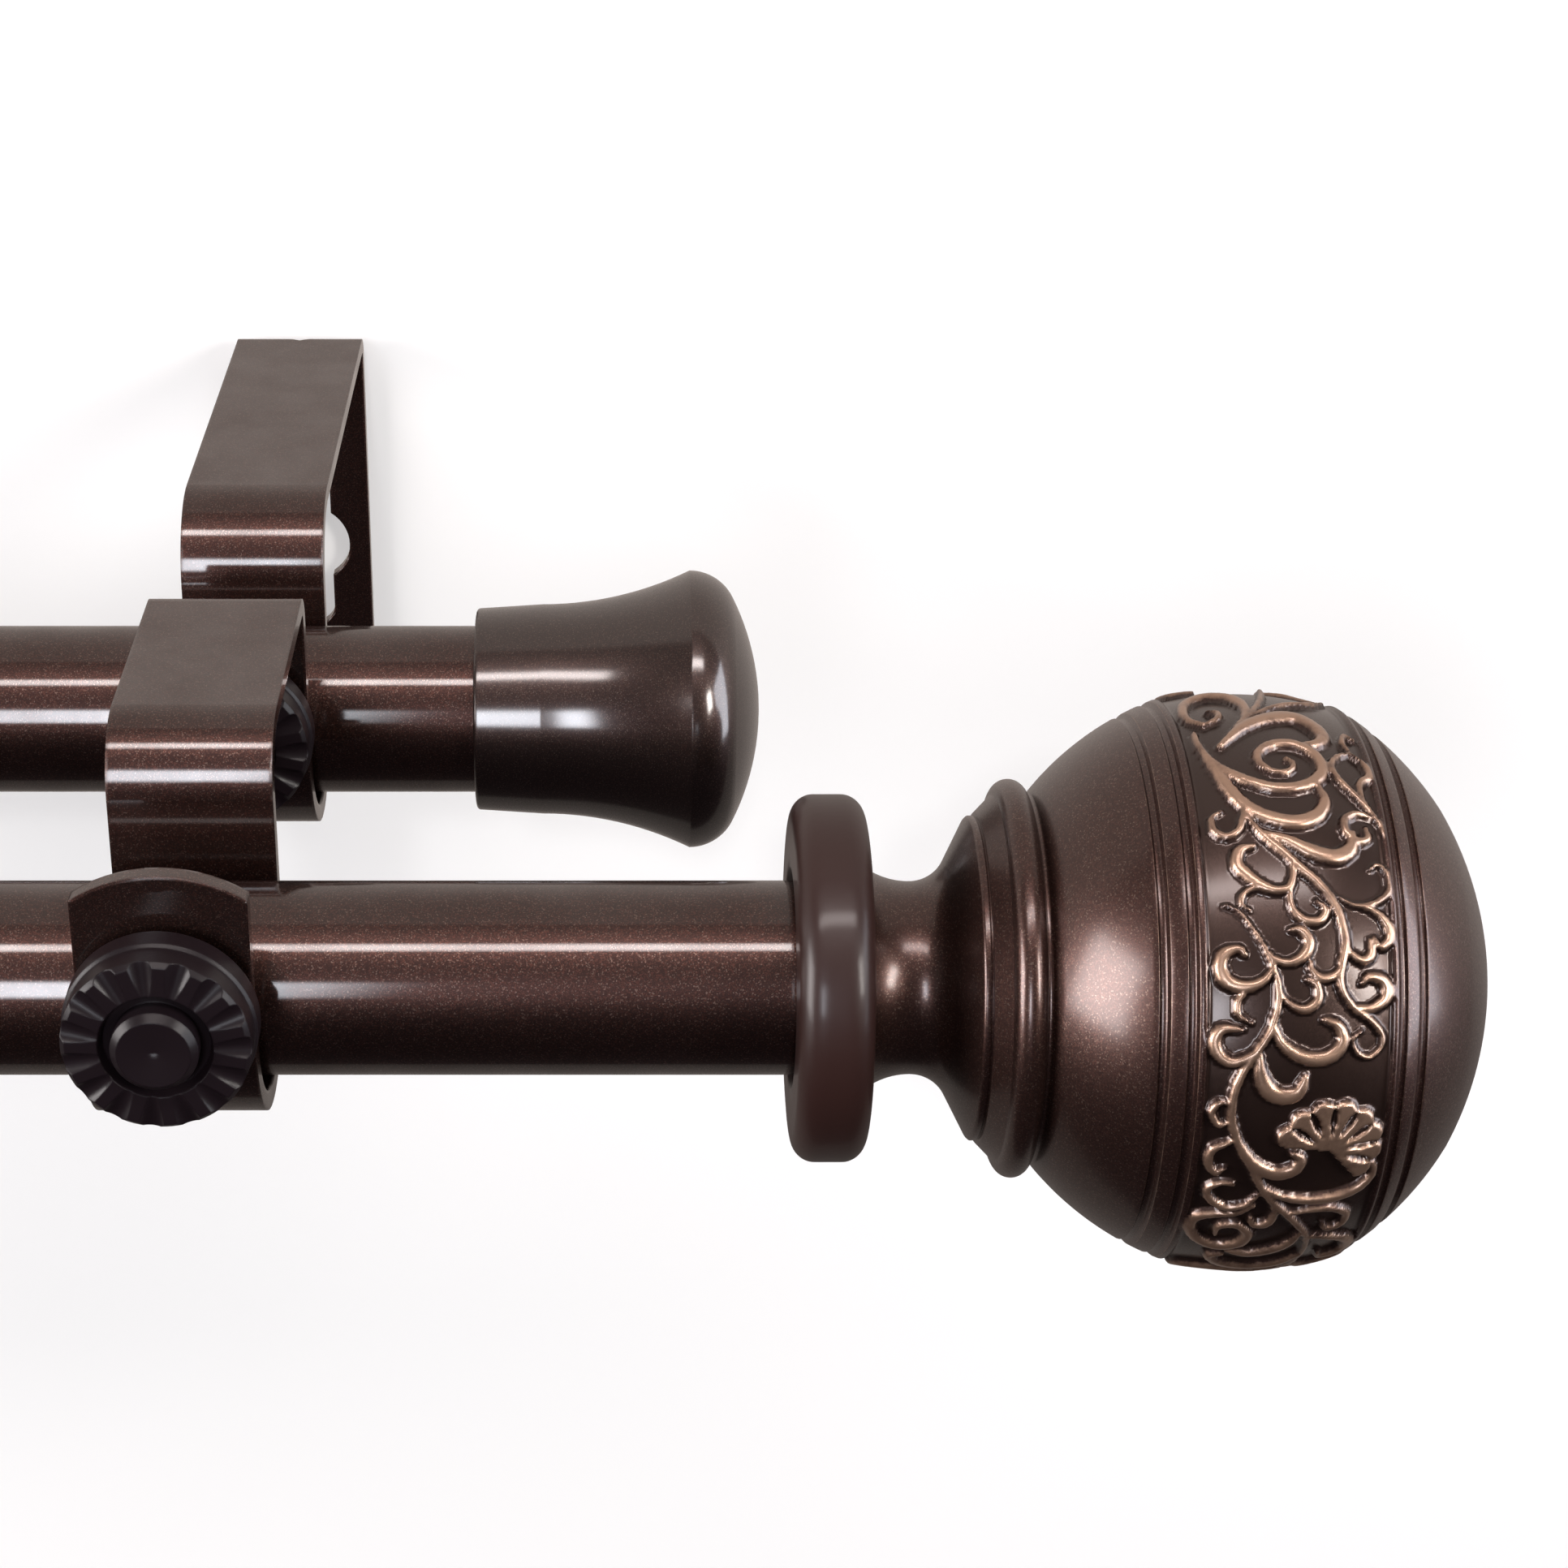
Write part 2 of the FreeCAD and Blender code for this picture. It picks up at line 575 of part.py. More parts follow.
def oval_rules(centre, across, along):
    """Two tangent arcs that round off a quarter of an oval, from its widest section to its
    tip: the two centres, their meeting point and the two radii."""
    slant = f"sqrt(({across}) ^ 2 + ({along}) ^ 2)"
    flank = f"({slant} / ({across}) * ({slant} - ({across}) + ({along})) / 2)"
    nose = f"({slant} / ({along}) * ({slant} + ({across}) - ({along})) / 2)"
    flank_centre = (centre, f"(({across}) - {flank})")
    nose_centre = (f"({centre} + ({along}) - {nose})", "0")
    share = f"({nose} / ({nose} - {flank}))"
    meeting = (f"{centre} + (({along}) - {nose}) * (1 - {share})", f"{flank_centre[1]} * {share}")
    return flank_centre, nose_centre, meeting, flank, nose


def zone(first, second):
    """A round stretch of the ball between two of its points, with its centre on the axis:
    the rules for that centre's place and for the radius."""
    (start, low), (end, high) = first, second
    squares = f"(({end}) ^ 2 + ({high}) ^ 2 - ({start}) ^ 2 - ({low}) ^ 2)"
    centre = f"({squares} / (2 * (({end}) - ({start}))))"
    return centre, f"sqrt((({start}) - {centre}) ^ 2 + ({low}) ^ 2)"


FINIAL_BASE = "collar_thickness"
BALL_START = f"({FINIAL_BASE} + bead_groove_place)"
BAND_START = f"({FINIAL_BASE} + band_near)"
BAND_END = f"({FINIAL_BASE} + band_far)"
SHOULDER = f"({FINIAL_BASE} + shoulder_place)"
BALL_TIP = f"({FINIAL_BASE} + ball_length)"
NEAR_ZONE = zone((BALL_START, "bead_groove_radius"), (BAND_START, "band_near_radius"))
GROUND_ZONE = zone((BAND_START, "band_near_radius - band_depth"), (BAND_END, "band_far_radius - band_depth"))
FACE_ZONE = zone((BAND_START, "band_near_radius + relief_rise"), (BAND_END, "band_far_radius + relief_rise"))
FAR_ZONE = zone((BAND_END, "band_far_radius"), (SHOULDER, "shoulder_radius"))
NOSE_ZONE = zone((SHOULDER, "shoulder_radius"), (BALL_TIP, "0"))
FACE_RADIUS = FACE_ZONE[1]


def surface_at(place, stretch):
    """Radius of a round stretch of the ball at a place."""
    centre, radius = stretch
    return f"sqrt({radius} ^ 2 - (({place}) - {centre}) ^ 2)"


def turned_cut(body, name, corners):
    """Turn away what an outline encloses, and stop if it takes nothing away."""
    before = body.Tip.Shape.Volume
    sketch = sketch_on(body, "XY_Plane", f"{name}_outline")
    outline(sketch, corners)
    groove = body.newObject("PartDesign::Groove", name)
    groove.Profile = sketch
    groove.ReferenceAxis = (sketch, ["H_Axis"])
    groove.Angle = 360
    doc.recompute()
    if groove.Shape.Volume > before - 0.01:
        raise RuntimeError(f"{name} cuts nothing")


def finial_turning():
    """The neck, bead and ball as they are turned, with the sunk ground of the carved band
    between two pairs of grooves."""
    body = doc.addObject("PartDesign::Body", "finial_turning")
    bore = "(stud_diameter / 2 + stud_hole_gap)"
    bore_floor = f"({FINIAL_BASE} + stud_in_finial + stud_hole_gap)"
    bead = f"{FINIAL_BASE} + bead_place"
    bead_centre = "bead_radius - bead_round"
    shelf = f"{FINIAL_BASE} + shelf_place"
    shelf_end = f"{shelf} + shelf_width"
    shelf_flank = "shelf_radius - shelf_edge_chamfer"
    waist = f"{FINIAL_BASE} + neck_waist_place"
    flare_centre = "(neck_waist_radius + neck_flare_radius)"
    foot_rise = "(neck_foot_radius - neck_waist_radius)"
    foot_round = f"((neck_waist_place ^ 2 + {foot_rise} ^ 2) / (2 * {foot_rise}))"
    turned(body, "finial_round", [
        (FINIAL_BASE, bore),
        (bore_floor, bore),
        (bore_floor, "0"),
        (BALL_TIP, "0", NOSE_ZONE[0], "0"),
        (SHOULDER, "shoulder_radius", FAR_ZONE[0], "0"),
        (BAND_END, "band_far_radius"),
        (BAND_END, "band_far_radius - band_depth", GROUND_ZONE[0], "0"),
        (BAND_START, "band_near_radius - band_depth"),
        (BAND_START, "band_near_radius", NEAR_ZONE[0], "0"),
        (BALL_START, "bead_groove_radius"),
        (f"{bead} + bead_round", bead_centre, bead, bead_centre),
        (bead, "bead_radius", bead, bead_centre),
        (f"{bead} - bead_round", bead_centre),
        (shelf_end, "bead_foot_radius"),
        (shelf_end, shelf_flank),
        (f"{shelf_end} - shelf_edge_chamfer", "shelf_radius"),
        (f"{shelf} + shelf_edge_chamfer", "shelf_radius"),
        (shelf, shelf_flank),
        (f"{waist} + neck_flare_run",
         f"{flare_centre} - sqrt(neck_flare_radius ^ 2 - neck_flare_run ^ 2)", waist, flare_centre),
        (waist, "neck_waist_radius", waist, f"neck_waist_radius + {foot_round}"),
        (FINIAL_BASE, "neck_foot_radius"),
    ])
    for place, stretch in (("groove_near_outer", NEAR_ZONE), ("groove_near_inner", NEAR_ZONE),
                           ("groove_far_inner", FAR_ZONE), ("groove_far_outer", FAR_ZONE)):
        at = f"({FINIAL_BASE} + {place})"
        surface = surface_at(at, stretch)
        turned_cut(body, place, [
            (f"{at} - groove_width * 0.25", f"{surface} - groove_width / 2"),
            (f"{at} + groove_width * 0.25", f"{surface} - groove_width / 2"),
            (f"{at} + groove_width * 0.75", f"{surface} + groove_width / 2"),
            (f"{at} - groove_width * 0.75", f"{surface} + groove_width / 2"),
        ])
    return body


# Vine
# The carving is drawn flat, as it lies on the band: mm across it, from VINE_EDGE at the edge
# near the neck, and degrees round it, 0 facing the room and 90 up. It stretches with the band,
# and goes round it twice. A stroke is a pointed leaf: its width, its start, the middle of its
# back and its end.
VINE_EDGE = 6.5
VINE_BAND = 22.7
VINE_REPEATS = 2
STATION_STEP = 30
STROKES = (
    # Crossing of the stems at the top, with the big leaf and the spiral
    (0.9, (11.0, 80.5), (15.5, 89.6), (18.7, 102.0)),
    (0.9, (18.3, 100.0), (19.8, 110.0), (20.6, 120.0)),
    (0.9, (15.6, 89.4), (21.6, 98.8), (27.8, 110.0)),
    (1.7, (13.4, 85.4), (15.4, 96.0), (11.4, 104.2)),
    (1.7, (12.1, 104.4), (7.9, 97.0), (9.9, 88.4)),
    (1.8, (11.3, 80.9), (14.3, 86.3), (19.0, 90.2)),
    (2.5, (16.6, 88.4), (23.3, 88.9), (21.4, 80.2)),
    (1.6, (8.3, 86.0), (12.0, 71.5), (19.6, 68.0)),
    (1.8, (18.0, 67.8), (22.9, 74.2), (18.4, 80.4)),
    (1.4, (19.2, 80.4), (15.1, 76.6), (17.4, 71.6)),
    (1.0, (16.6, 72.0), (19.3, 72.8), (18.5, 76.0)),
    (1.7, (8.5, 82.4), (9.9, 73.0), (13.8, 62.2)),
    (2.2, (12.8, 63.4), (19.2, 60.0), (21.9, 68.8)),
    (1.2, (12.0, 65.8), (10.8, 57.4), (8.4, 61.0)),
    (1.2, (27.3, 80.4), (24.2, 74.0), (28.0, 64.2)),
    (1.1, (27.1, 80.1), (29.0, 75.2), (27.2, 69.6)),
    (1.3, (28.5, 62.8), (24.4, 61.0), (26.9, 57.2)),
    # Right stem, from the fork down to its curl
    (1.5, (11.8, 65.4), (14.7, 56.0), (20.2, 47.6)),
    (1.4, (19.2, 49.4), (22.3, 42.4), (22.9, 34.6)),
    (1.3, (23.1, 37.4), (22.2, 30.4), (24.6, 23.6)),
    (1.2, (23.8, 24.9), (27.6, 20.4), (26.4, 15.0)),
    (1.0, (27.2, 15.7), (24.4, 15.5), (24.6, 20.2)),
    (2.3, (14.3, 57.8), (20.9, 53.3), (25.2, 58.6)),
    (1.0, (22.2, 44.6), (29.3, 46.2), (27.0, 52.0)),
    (1.4, (24.4, 43.9), (28.8, 40.4), (26.9, 35.4)),
    (1.4, (22.9, 36.6), (25.4, 33.2), (26.1, 37.4)),
    (1.8, (17.2, 52.2), (15.4, 45.9), (11.5, 49.6)),
    (1.7, (12.4, 48.2), (10.6, 52.4), (13.1, 55.1)),
    (1.0, (15.0, 46.3), (11.1, 46.2), (11.7, 42.2)),
    (1.3, (16.9, 48.8), (17.6, 40.9), (20.2, 44.0)),
    (1.2, (22.6, 32.6), (19.9, 29.9), (18.7, 33.2)),
    (1.8, (23.9, 24.9), (28.2, 26.6), (25.0, 29.8)),
    # Left stem, from the middle down past the shell
    (1.3, (8.7, 43.9), (12.6, 38.2), (14.6, 29.0)),
    (1.3, (14.4, 31.4), (14.8, 24.0), (11.6, 14.4)),
    (1.4, (12.4, 16.2), (9.9, 6.0), (11.9, -4.6)),
    (1.4, (11.0, -1.8), (14.2, -11.7), (18.8, -21.2)),
    (1.4, (17.5, -18.5), (21.4, -28.0), (22.0, -43.0)),
    (1.3, (22.1, -40.0), (21.6, -51.0), (20.3, -63.0)),
    (1.5, (13.4, 35.2), (18.3, 34.0), (16.2, 38.9)),
    (2.0, (14.4, 32.2), (9.6, 28.5), (8.6, 33.6)),
    (1.5, (8.2, 31.8), (9.2, 35.2), (11.1, 34.0)),
    (1.0, (12.6, 29.1), (9.9, 25.2), (11.9, 21.4)),
    (1.3, (14.9, 27.8), (18.9, 24.7), (18.0, 30.0)),
    (2.2, (14.3, 22.0), (18.6, 15.0), (21.8, 22.0)),
    (1.9, (12.9, 17.6), (7.7, 16.4), (10.6, 20.6)),
    (2.4, (12.7, 15.9), (14.9, 8.3), (18.4, 11.9)),
    # Foot of the shell, and the loop and curls under it
    (2.2, (10.3, 0.8), (14.6, -8.4), (18.6, -4.4)),
    (1.2, (9.9, 5.8), (7.6, 3.6), (9.7, 1.2)),
    (1.3, (10.9, -1.0), (7.8, -5.6), (9.9, -9.2)),
    (1.9, (14.3, -12.0), (22.2, -16.4), (28.2, -9.0)),
    (1.4, (14.4, -14.2), (9.0, -18.0), (10.4, -12.2)),
    (2.0, (14.2, -17.4), (8.2, -22.8), (8.4, -31.4)),
    (1.9, (8.0, -29.6), (11.4, -33.5), (14.0, -26.8)),
    (1.3, (14.1, -28.6), (12.2, -24.2), (10.3, -28.4)),
    (1.4, (15.9, -16.6), (16.7, -22.2), (14.0, -22.6)),
    (1.8, (21.1, -26.2), (18.4, -34.0), (12.2, -35.0)),
    (1.4, (18.2, -20.0), (25.3, -20.6), (23.8, -27.0)),
    # Side that the photograph hides, up to the next round of the vine
    (1.8, (21.5, -28.8), (27.8, -35.0), (25.4, -43.2)),
    (2.1, (22.2, -38.2), (15.6, -45.4), (11.0, -38.6)),
    (1.6, (21.9, -45.8), (26.2, -52.0), (28.5, -46.6)),
    (1.4, (21.3, -51.8), (18.6, -53.4), (15.2, -50.0)),
    (1.9, (16.6, -50.8), (9.0, -52.4), (9.4, -61.0)),
    (1.7, (20.9, -56.8), (25.4, -58.9), (28.7, -61.4)),
)
SHELL_CENTRE = (22.0, -3.6)
SHELL_REACH = 7.1
SHELL_NOTCH = 6.4
SHELL_FIRST = -52
SHELL_STEP = 28
SHELL_SCALLOPS = 8
SHELL_FOOT = (2.2, 240)
RAY_START = 2.0
RAY_END = 5.8
RAY_WIDTH = 0.9
BLOCK_ROOT = 0.84
BLOCK_HEIGHT = 0.22


def vine_rules(spot, station):
    """Rules for a spot of the flat vine on the sketch that faces a station."""
    place, degrees = spot
    across = f"({BAND_START} + ({place - VINE_EDGE:.3f}) * (band_far - band_near) / {VINE_BAND})"
    return across, f"{FACE_RADIUS} * ({math.sin(math.radians(degrees - station)):.4f})"


def shifted(spot, across, around):
    """A spot of the flat vine, moved by mm across the band and mm round it."""
    return spot[0] + across, spot[1] + math.degrees(around / worth(FACE_RADIUS))


def arc_through(start, middle, end):
    """The arc through three points, and whether it runs from start to end. A sketch's arcs
    always run anticlockwise."""
    first, second = middle - start, end - start
    doubled = 2 * (first.x * second.y - first.y * second.x)
    centre = start + Vector(
        second.y * first.Length ** 2 - first.y * second.Length ** 2,
        first.x * second.Length ** 2 - second.x * first.Length ** 2, 0) / doubled
    circle = Part.Circle(centre, Vector(0, 0, 1), start.distanceToPoint(centre))
    begins, ends = start - centre, end - centre
    if doubled < 0:
        begins, ends = ends, begins
    opening = math.atan2(begins.y, begins.x)
    sweep = (math.atan2(ends.y, ends.x) - opening) % (2 * math.pi)
    return Part.ArcOfCircle(circle, opening, opening + sweep), doubled > 0


def loop_of_arcs(sketch, spots, station):
    """Draw a closed line through spots of the flat vine. Every second spot is the middle of
    an arc, or None for a straight side."""
    places = [spot and Vector(*(worth(rule) for rule in vine_rules(spot, station)), 0) for spot in spots]
    count = len(spots)
    ends = []
    for index in range(0, count, 2):
        start, middle, end = places[index], places[index + 1], places[(index + 2) % count]
        if middle is None:
            ends.append((sketch.addGeometry(Part.LineSegment(start, end), False), 1, 2))
            continue
        arc, forward = arc_through(start, middle, end)
        number = sketch.addGeometry(arc, False)
        ends.append((number, 1, 2) if forward else (number, 2, 1))
        guide = sketch.addGeometry(Part.Point(middle), True)
        pin(sketch, guide, 1, *vine_rules(spots[index + 1], station))
        sketch.addConstraint(Sketcher.Constraint("PointOnObject", guide, 1, number))
    for index, (number, first, last) in enumerate(ends):
        following, start, end = ends[(index + 1) % len(ends)]
        sketch.addConstraint(Sketcher.Constraint("Coincident", number, last, following, start))
        pin(sketch, number, first, *vine_rules(spots[2 * index], station))


def leaf(width, start, middle, end):
    """The four spots of a pointed leaf: its two ends and the middles of its two sides."""
    to_mm = math.radians(worth(FACE_RADIUS))
    along = Vector(end[0] - start[0], (end[1] - start[1]) * to_mm, 0)
    along.normalize()
    side = width / 2
    return [start, shifted(middle, -along.y * side, along.x * side),
            end, shifted(middle, along.y * side, -along.x * side)]


def vine_block(name, loops, station, turn):
    """Push closed loops out through the band, on the side of the ball that faces a station."""
    sketch = doc.addObject("Sketcher::SketchObject", f"{name}_outline")
    facing = math.radians(station + turn)
    sketch.Placement = Placement(Vector(0, 0, 0), Rotation(Vector(1, 0, 0), 90 - station - turn))
    root = f"{FACE_RADIUS} * {BLOCK_ROOT}"
    sketch.setExpression("Placement.Base.y", bound(f"{root} * ({-math.cos(facing):.6f})"))
    sketch.setExpression("Placement.Base.z", bound(f"{root} * ({math.sin(facing):.6f})"))
    for spots in loops:
        loop_of_arcs(sketch, spots, station)
    block = doc.addObject("Part::Extrusion", name)
    block.Base = sketch
    block.DirMode = "Normal"
    block.Solid = True
    block.setExpression("LengthFwd", bound(f"{FACE_RADIUS} * {BLOCK_HEIGHT}"))
    return block


def shell_loops():
    """The fan shell: a scalloped edge with a pointed foot, and the rays cut through it."""
    def at(reach, degrees):
        around = math.radians(degrees)
        return shifted(SHELL_CENTRE, reach * math.cos(around), reach * math.sin(around))

    edge = []
    for scallop in range(SHELL_SCALLOPS):
        first = SHELL_FIRST + SHELL_STEP * scallop
        edge += [at(SHELL_NOTCH, first), at(SHELL_REACH, first + SHELL_STEP / 2)]
    last = SHELL_FIRST + SHELL_STEP * SHELL_SCALLOPS
    edge += [at(SHELL_NOTCH, last), None, at(*SHELL_FOOT), None]
    rays = []
    for ray in range(1, SHELL_SCALLOPS):
        degrees = SHELL_FIRST + SHELL_STEP * ray
        middle = at((RAY_START + RAY_END) / 2, degrees)
        rays.append(leaf(RAY_WIDTH, at(RAY_START, degrees), middle, at(RAY_END, degrees)))
    return [edge] + rays


def box_of(spots):
    """The lowest and highest mm across and round that a leaf's two arcs reach."""
    to_mm = math.radians(worth(FACE_RADIUS))
    a, b, c, d = (Vector(place, degrees * to_mm, 0) for place, degrees in spots)
    box = arc_through(a, b, c)[0].toShape().BoundBox
    box.add(arc_through(c, d, a)[0].toShape().BoundBox)
    return box


def vine_blocks():
    """Every block of the vine. Leaves that keep clear of each other share a sketch."""
    layers = {}
    for stroke in STROKES:
        spots = leaf(*stroke)
        box = box_of(spots)
        station = STATION_STEP * round(stroke[2][1] / STATION_STEP)
        for layer in layers.setdefault(station, []):
            if not any(box.intersect(other) for other, kept in layer):
                layer.append((box, spots))
                break
        else:
            layers[station].append([(box, spots)])
    blocks = []
    for repeat in range(VINE_REPEATS):
        turn = 360 / VINE_REPEATS * repeat
        blocks.append(vine_block(f"shell_{repeat + 1}", shell_loops(), 0, turn))
        for station in sorted(layers):
            for number, layer in enumerate(layers[station]):
                name = f"vine_{repeat + 1}_{len(blocks)}"
                blocks.append(vine_block(name, [spots for box, spots in layer], station, turn))
    return blocks


def carved_finial():
    """The turning with the vine's blocks on its band, trimmed to the ball's own roundness."""
    raised = doc.addObject("Part::MultiFuse", "finial_with_blocks")
    raised.Shapes = [finial_turning()] + vine_blocks()
    waste = doc.addObject("Sketcher::SketchObject", "vine_face_outline")
    near = f"({BAND_START} - groove_width)"
    far = f"({BAND_END} + groove_width)"
    outline(waste, [
        (near, surface_at(near, FACE_ZONE), FACE_ZONE[0], "0"),
        (far, surface_at(far, FACE_ZONE)),
        (far, f"{FACE_RADIUS} * (1 + {BLOCK_HEIGHT})"),
        (near, f"{FACE_RADIUS} * (1 + {BLOCK_HEIGHT})"),
    ])
    face = doc.addObject("Part::Revolution", "vine_face")
    face.Source = waste
    face.Axis = Vector(1, 0, 0)
    face.Angle = 360
    face.Solid = True
    trimmed = doc.addObject("Part::Cut", "carved_finial")
    trimmed.Base = raised
    trimmed.Tool = face
    doc.recompute()
    return trimmed


CARVED_FINIAL = carved_finial()


def finial(label, x, turn):
    """One of the two castings, both the same."""
    body = body_named(label, x, *FRONT_AXIS, turn)
    casting = body.newObject("PartDesign::FeatureBase", f"{label}_casting")
    casting.BaseFeature = CARVED_FINIAL
    body.Tip = casting
    doc.recompute()


def pole_cap(label, x, way, turn):
    """The turned cap: a socket over the tube, a flared body, a rim and a domed face."""
    body = body_named(label, x, *BACK_AXIS, turn)
    tube_radius = OUTER_RADIUS if way > 0 else INNER_RADIUS
    bore = f"({tube_radius} + cap_bore_gap)"
    flank_centre, nose_centre, meeting, flank, nose = oval_rules(
        "cap_rim_place", "cap_rim_radius", "cap_length - cap_rim_place")
    run = "(cap_rim_place - cap_waist_place)"
    swell = "(cap_rim_radius - cap_waist_radius)"
    flare = f"(({run} ^ 2 + {swell} ^ 2) / (2 * {swell}))"
    mouth = "(cap_mouth_radius - cap_edge_radius)"
    turned(body, f"{label}_round", [
        ("0", bore),
        ("cap_bore_depth", bore),
        ("cap_bore_depth", "0"),
        ("cap_length", "0", *nose_centre),
        (*meeting, *flank_centre),
        ("cap_rim_place", "cap_rim_radius", "cap_waist_place", f"cap_waist_radius + {flare}"),
        ("cap_waist_place", "cap_waist_radius"),
        ("cap_edge_radius", "cap_mouth_radius", "cap_edge_radius", mouth),
        ("0", mouth),
    ])


for side, way, base, turn in ENDS:
    at_collar = f"{base}finial_inset"
    at_cap = f"{base}cap_inset"
    finial_collar(f"{side}_finial_collar", at_collar, way, turn)
    finial_stud(f"{side}_finial_stud", at_collar, turn)
    finial(f"{side}_finial", at_collar, turn)
    pole_cap(f"{side}_pole_cap", at_cap, way, turn)

# Check and write every piece
doc.recompute()
for item in doc.Objects:
    if "Invalid" in item.State or "Error" in item.State:
        raise RuntimeError(f"{item.Label} failed: {item.State}")
os.makedirs("parts", exist_ok=True)
for piece in pieces:
    shape = piece.Shape
    if shape.isNull() or not shape.isValid() or not shape.Solids:
        raise RuntimeError(f"{piece.Label} has no valid solid")
    shape.exportStep(f"parts/{piece.Label}.step")
    print(piece.Label, round(shape.Volume, 2), len(shape.Solids), len(shape.Faces), shape.BoundBox)
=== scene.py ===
import math

import bpy
import numpy as np
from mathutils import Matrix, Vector


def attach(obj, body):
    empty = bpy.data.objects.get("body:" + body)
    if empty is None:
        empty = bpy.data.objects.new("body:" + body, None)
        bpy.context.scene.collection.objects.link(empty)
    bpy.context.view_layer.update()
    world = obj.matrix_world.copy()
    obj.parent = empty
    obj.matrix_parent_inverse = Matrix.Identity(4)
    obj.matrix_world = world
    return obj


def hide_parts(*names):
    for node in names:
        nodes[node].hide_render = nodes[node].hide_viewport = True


# A double curtain pole set on a white wall: two bronze poles on bent strap brackets, a carved
# ball finial at each end of the front pole and a turned cap at each end of the back pole.
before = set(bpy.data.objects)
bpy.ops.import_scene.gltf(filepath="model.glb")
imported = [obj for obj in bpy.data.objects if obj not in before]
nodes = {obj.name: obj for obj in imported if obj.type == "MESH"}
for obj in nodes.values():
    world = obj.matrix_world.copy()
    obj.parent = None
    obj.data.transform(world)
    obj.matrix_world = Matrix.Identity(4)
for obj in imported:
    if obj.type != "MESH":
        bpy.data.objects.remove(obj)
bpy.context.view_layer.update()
scene = bpy.context.scene
scene.view_settings.view_transform = "Standard"

# Camera
# It looks down at the right end of the poles from the front, as the photograph does. The lens is
# shifted sideways and the camera isn't turned, so the poles lie level in the picture.
camera_tilt = math.radians(63.55)
camera_data = bpy.data.cameras.new("photo_camera")
camera_data.sensor_width = 36.0
camera_data.lens = 70.2
camera_data.shift_x = 0.10665
camera_data.clip_start = 0.01
camera = bpy.data.objects.new("photo_camera", camera_data)
camera.location = (0.05631, -0.52479, 0.21060)
camera.rotation_euler = (camera_tilt, 0.0, 0.0)
scene.collection.objects.link(camera)
scene.camera = camera


# Wall
# The plain white wall that the brackets are screwed to. The camera sees it white, with the
# shadows on it. Reflections see it warm grey and darker lower down, and from behind it is clear,
# so that the back of the set can be looked at.
def set_inputs(node, **values):
    """Set a node's inputs by name, with spaces written as underscores."""
    for name, value in values.items():
        node.inputs[name.replace("_", " ")].default_value = value


def shader_node(tree, kind, **values):
    """Add a node and set its inputs by name."""
    node = tree.nodes.new(kind)
    set_inputs(node, **values)
    return node


def math_node(tree, operation, *inputs):
    """Add a Math node. An input is a number or the socket that feeds it."""
    node = tree.nodes.new("ShaderNodeMath")
    node.operation = operation
    for socket, given in zip(node.inputs, inputs):
        if isinstance(given, (int, float)):
            socket.default_value = given
        else:
            tree.links.new(given, socket)
    return node.outputs["Value"]


def new_material(name):
    """A new material: itself, its node tree and its Principled shader."""
    material = bpy.data.materials.new(name)
    material.use_nodes = True
    return material, material.node_tree, material.node_tree.nodes["Principled BSDF"]


wall_half_width = 3.0
wall_half_height = 2.0
wall_gap = 0.0006
wall_mesh = bpy.data.meshes.new("white_wall")
wall_mesh.from_pydata(
    [(-wall_half_width, wall_gap, -wall_half_height), (wall_half_width, wall_gap, -wall_half_height),
     (wall_half_width, wall_gap, wall_half_height), (-wall_half_width, wall_gap, wall_half_height)],
    [], [(0, 1, 2, 3)])
wall = bpy.data.objects.new("white_wall", wall_mesh)
scene.collection.objects.link(wall)

# The camera alone sees the paint lifted to white
white = (1.0, 1.0, 1.0, 1.0)
wall_colour = (0.57, 0.57, 0.57, 1.0)
wall_lift = 0.32
wall_paint, wall_tree, wall_shader = new_material("wall_paint")
set_inputs(wall_shader, Base_Color=wall_colour, Roughness=0.9, Specular_IOR_Level=0.0,
           Emission_Color=white)
wall_rays = wall_tree.nodes.new("ShaderNodeLightPath")
wall_tree.links.new(math_node(wall_tree, "MULTIPLY", wall_rays.outputs["Is Camera Ray"], wall_lift),
                    wall_shader.inputs["Emission Strength"])

# In reflections its brightness rises between two heights
mirrored_colour = (0.55, 0.48, 0.44, 1.0)
dusk_bottom, dusk_top = -0.14, 0.10
mirrored_low, mirrored_high = 0.3, 1.2
wall_mirrored = shader_node(wall_tree, "ShaderNodeEmission", Color=mirrored_colour)
wall_place = wall_tree.nodes.new("ShaderNodeTexCoord")
wall_axes = wall_tree.nodes.new("ShaderNodeSeparateXYZ")
wall_tree.links.new(wall_place.outputs["Object"], wall_axes.inputs["Vector"])
wall_dusk = shader_node(wall_tree, "ShaderNodeMapRange", From_Min=dusk_bottom, From_Max=dusk_top,
                        To_Min=mirrored_low, To_Max=mirrored_high)
wall_tree.links.new(wall_axes.outputs["Z"], wall_dusk.inputs["Value"])
wall_tree.links.new(wall_dusk.outputs["Result"], wall_mirrored.inputs["Strength"])

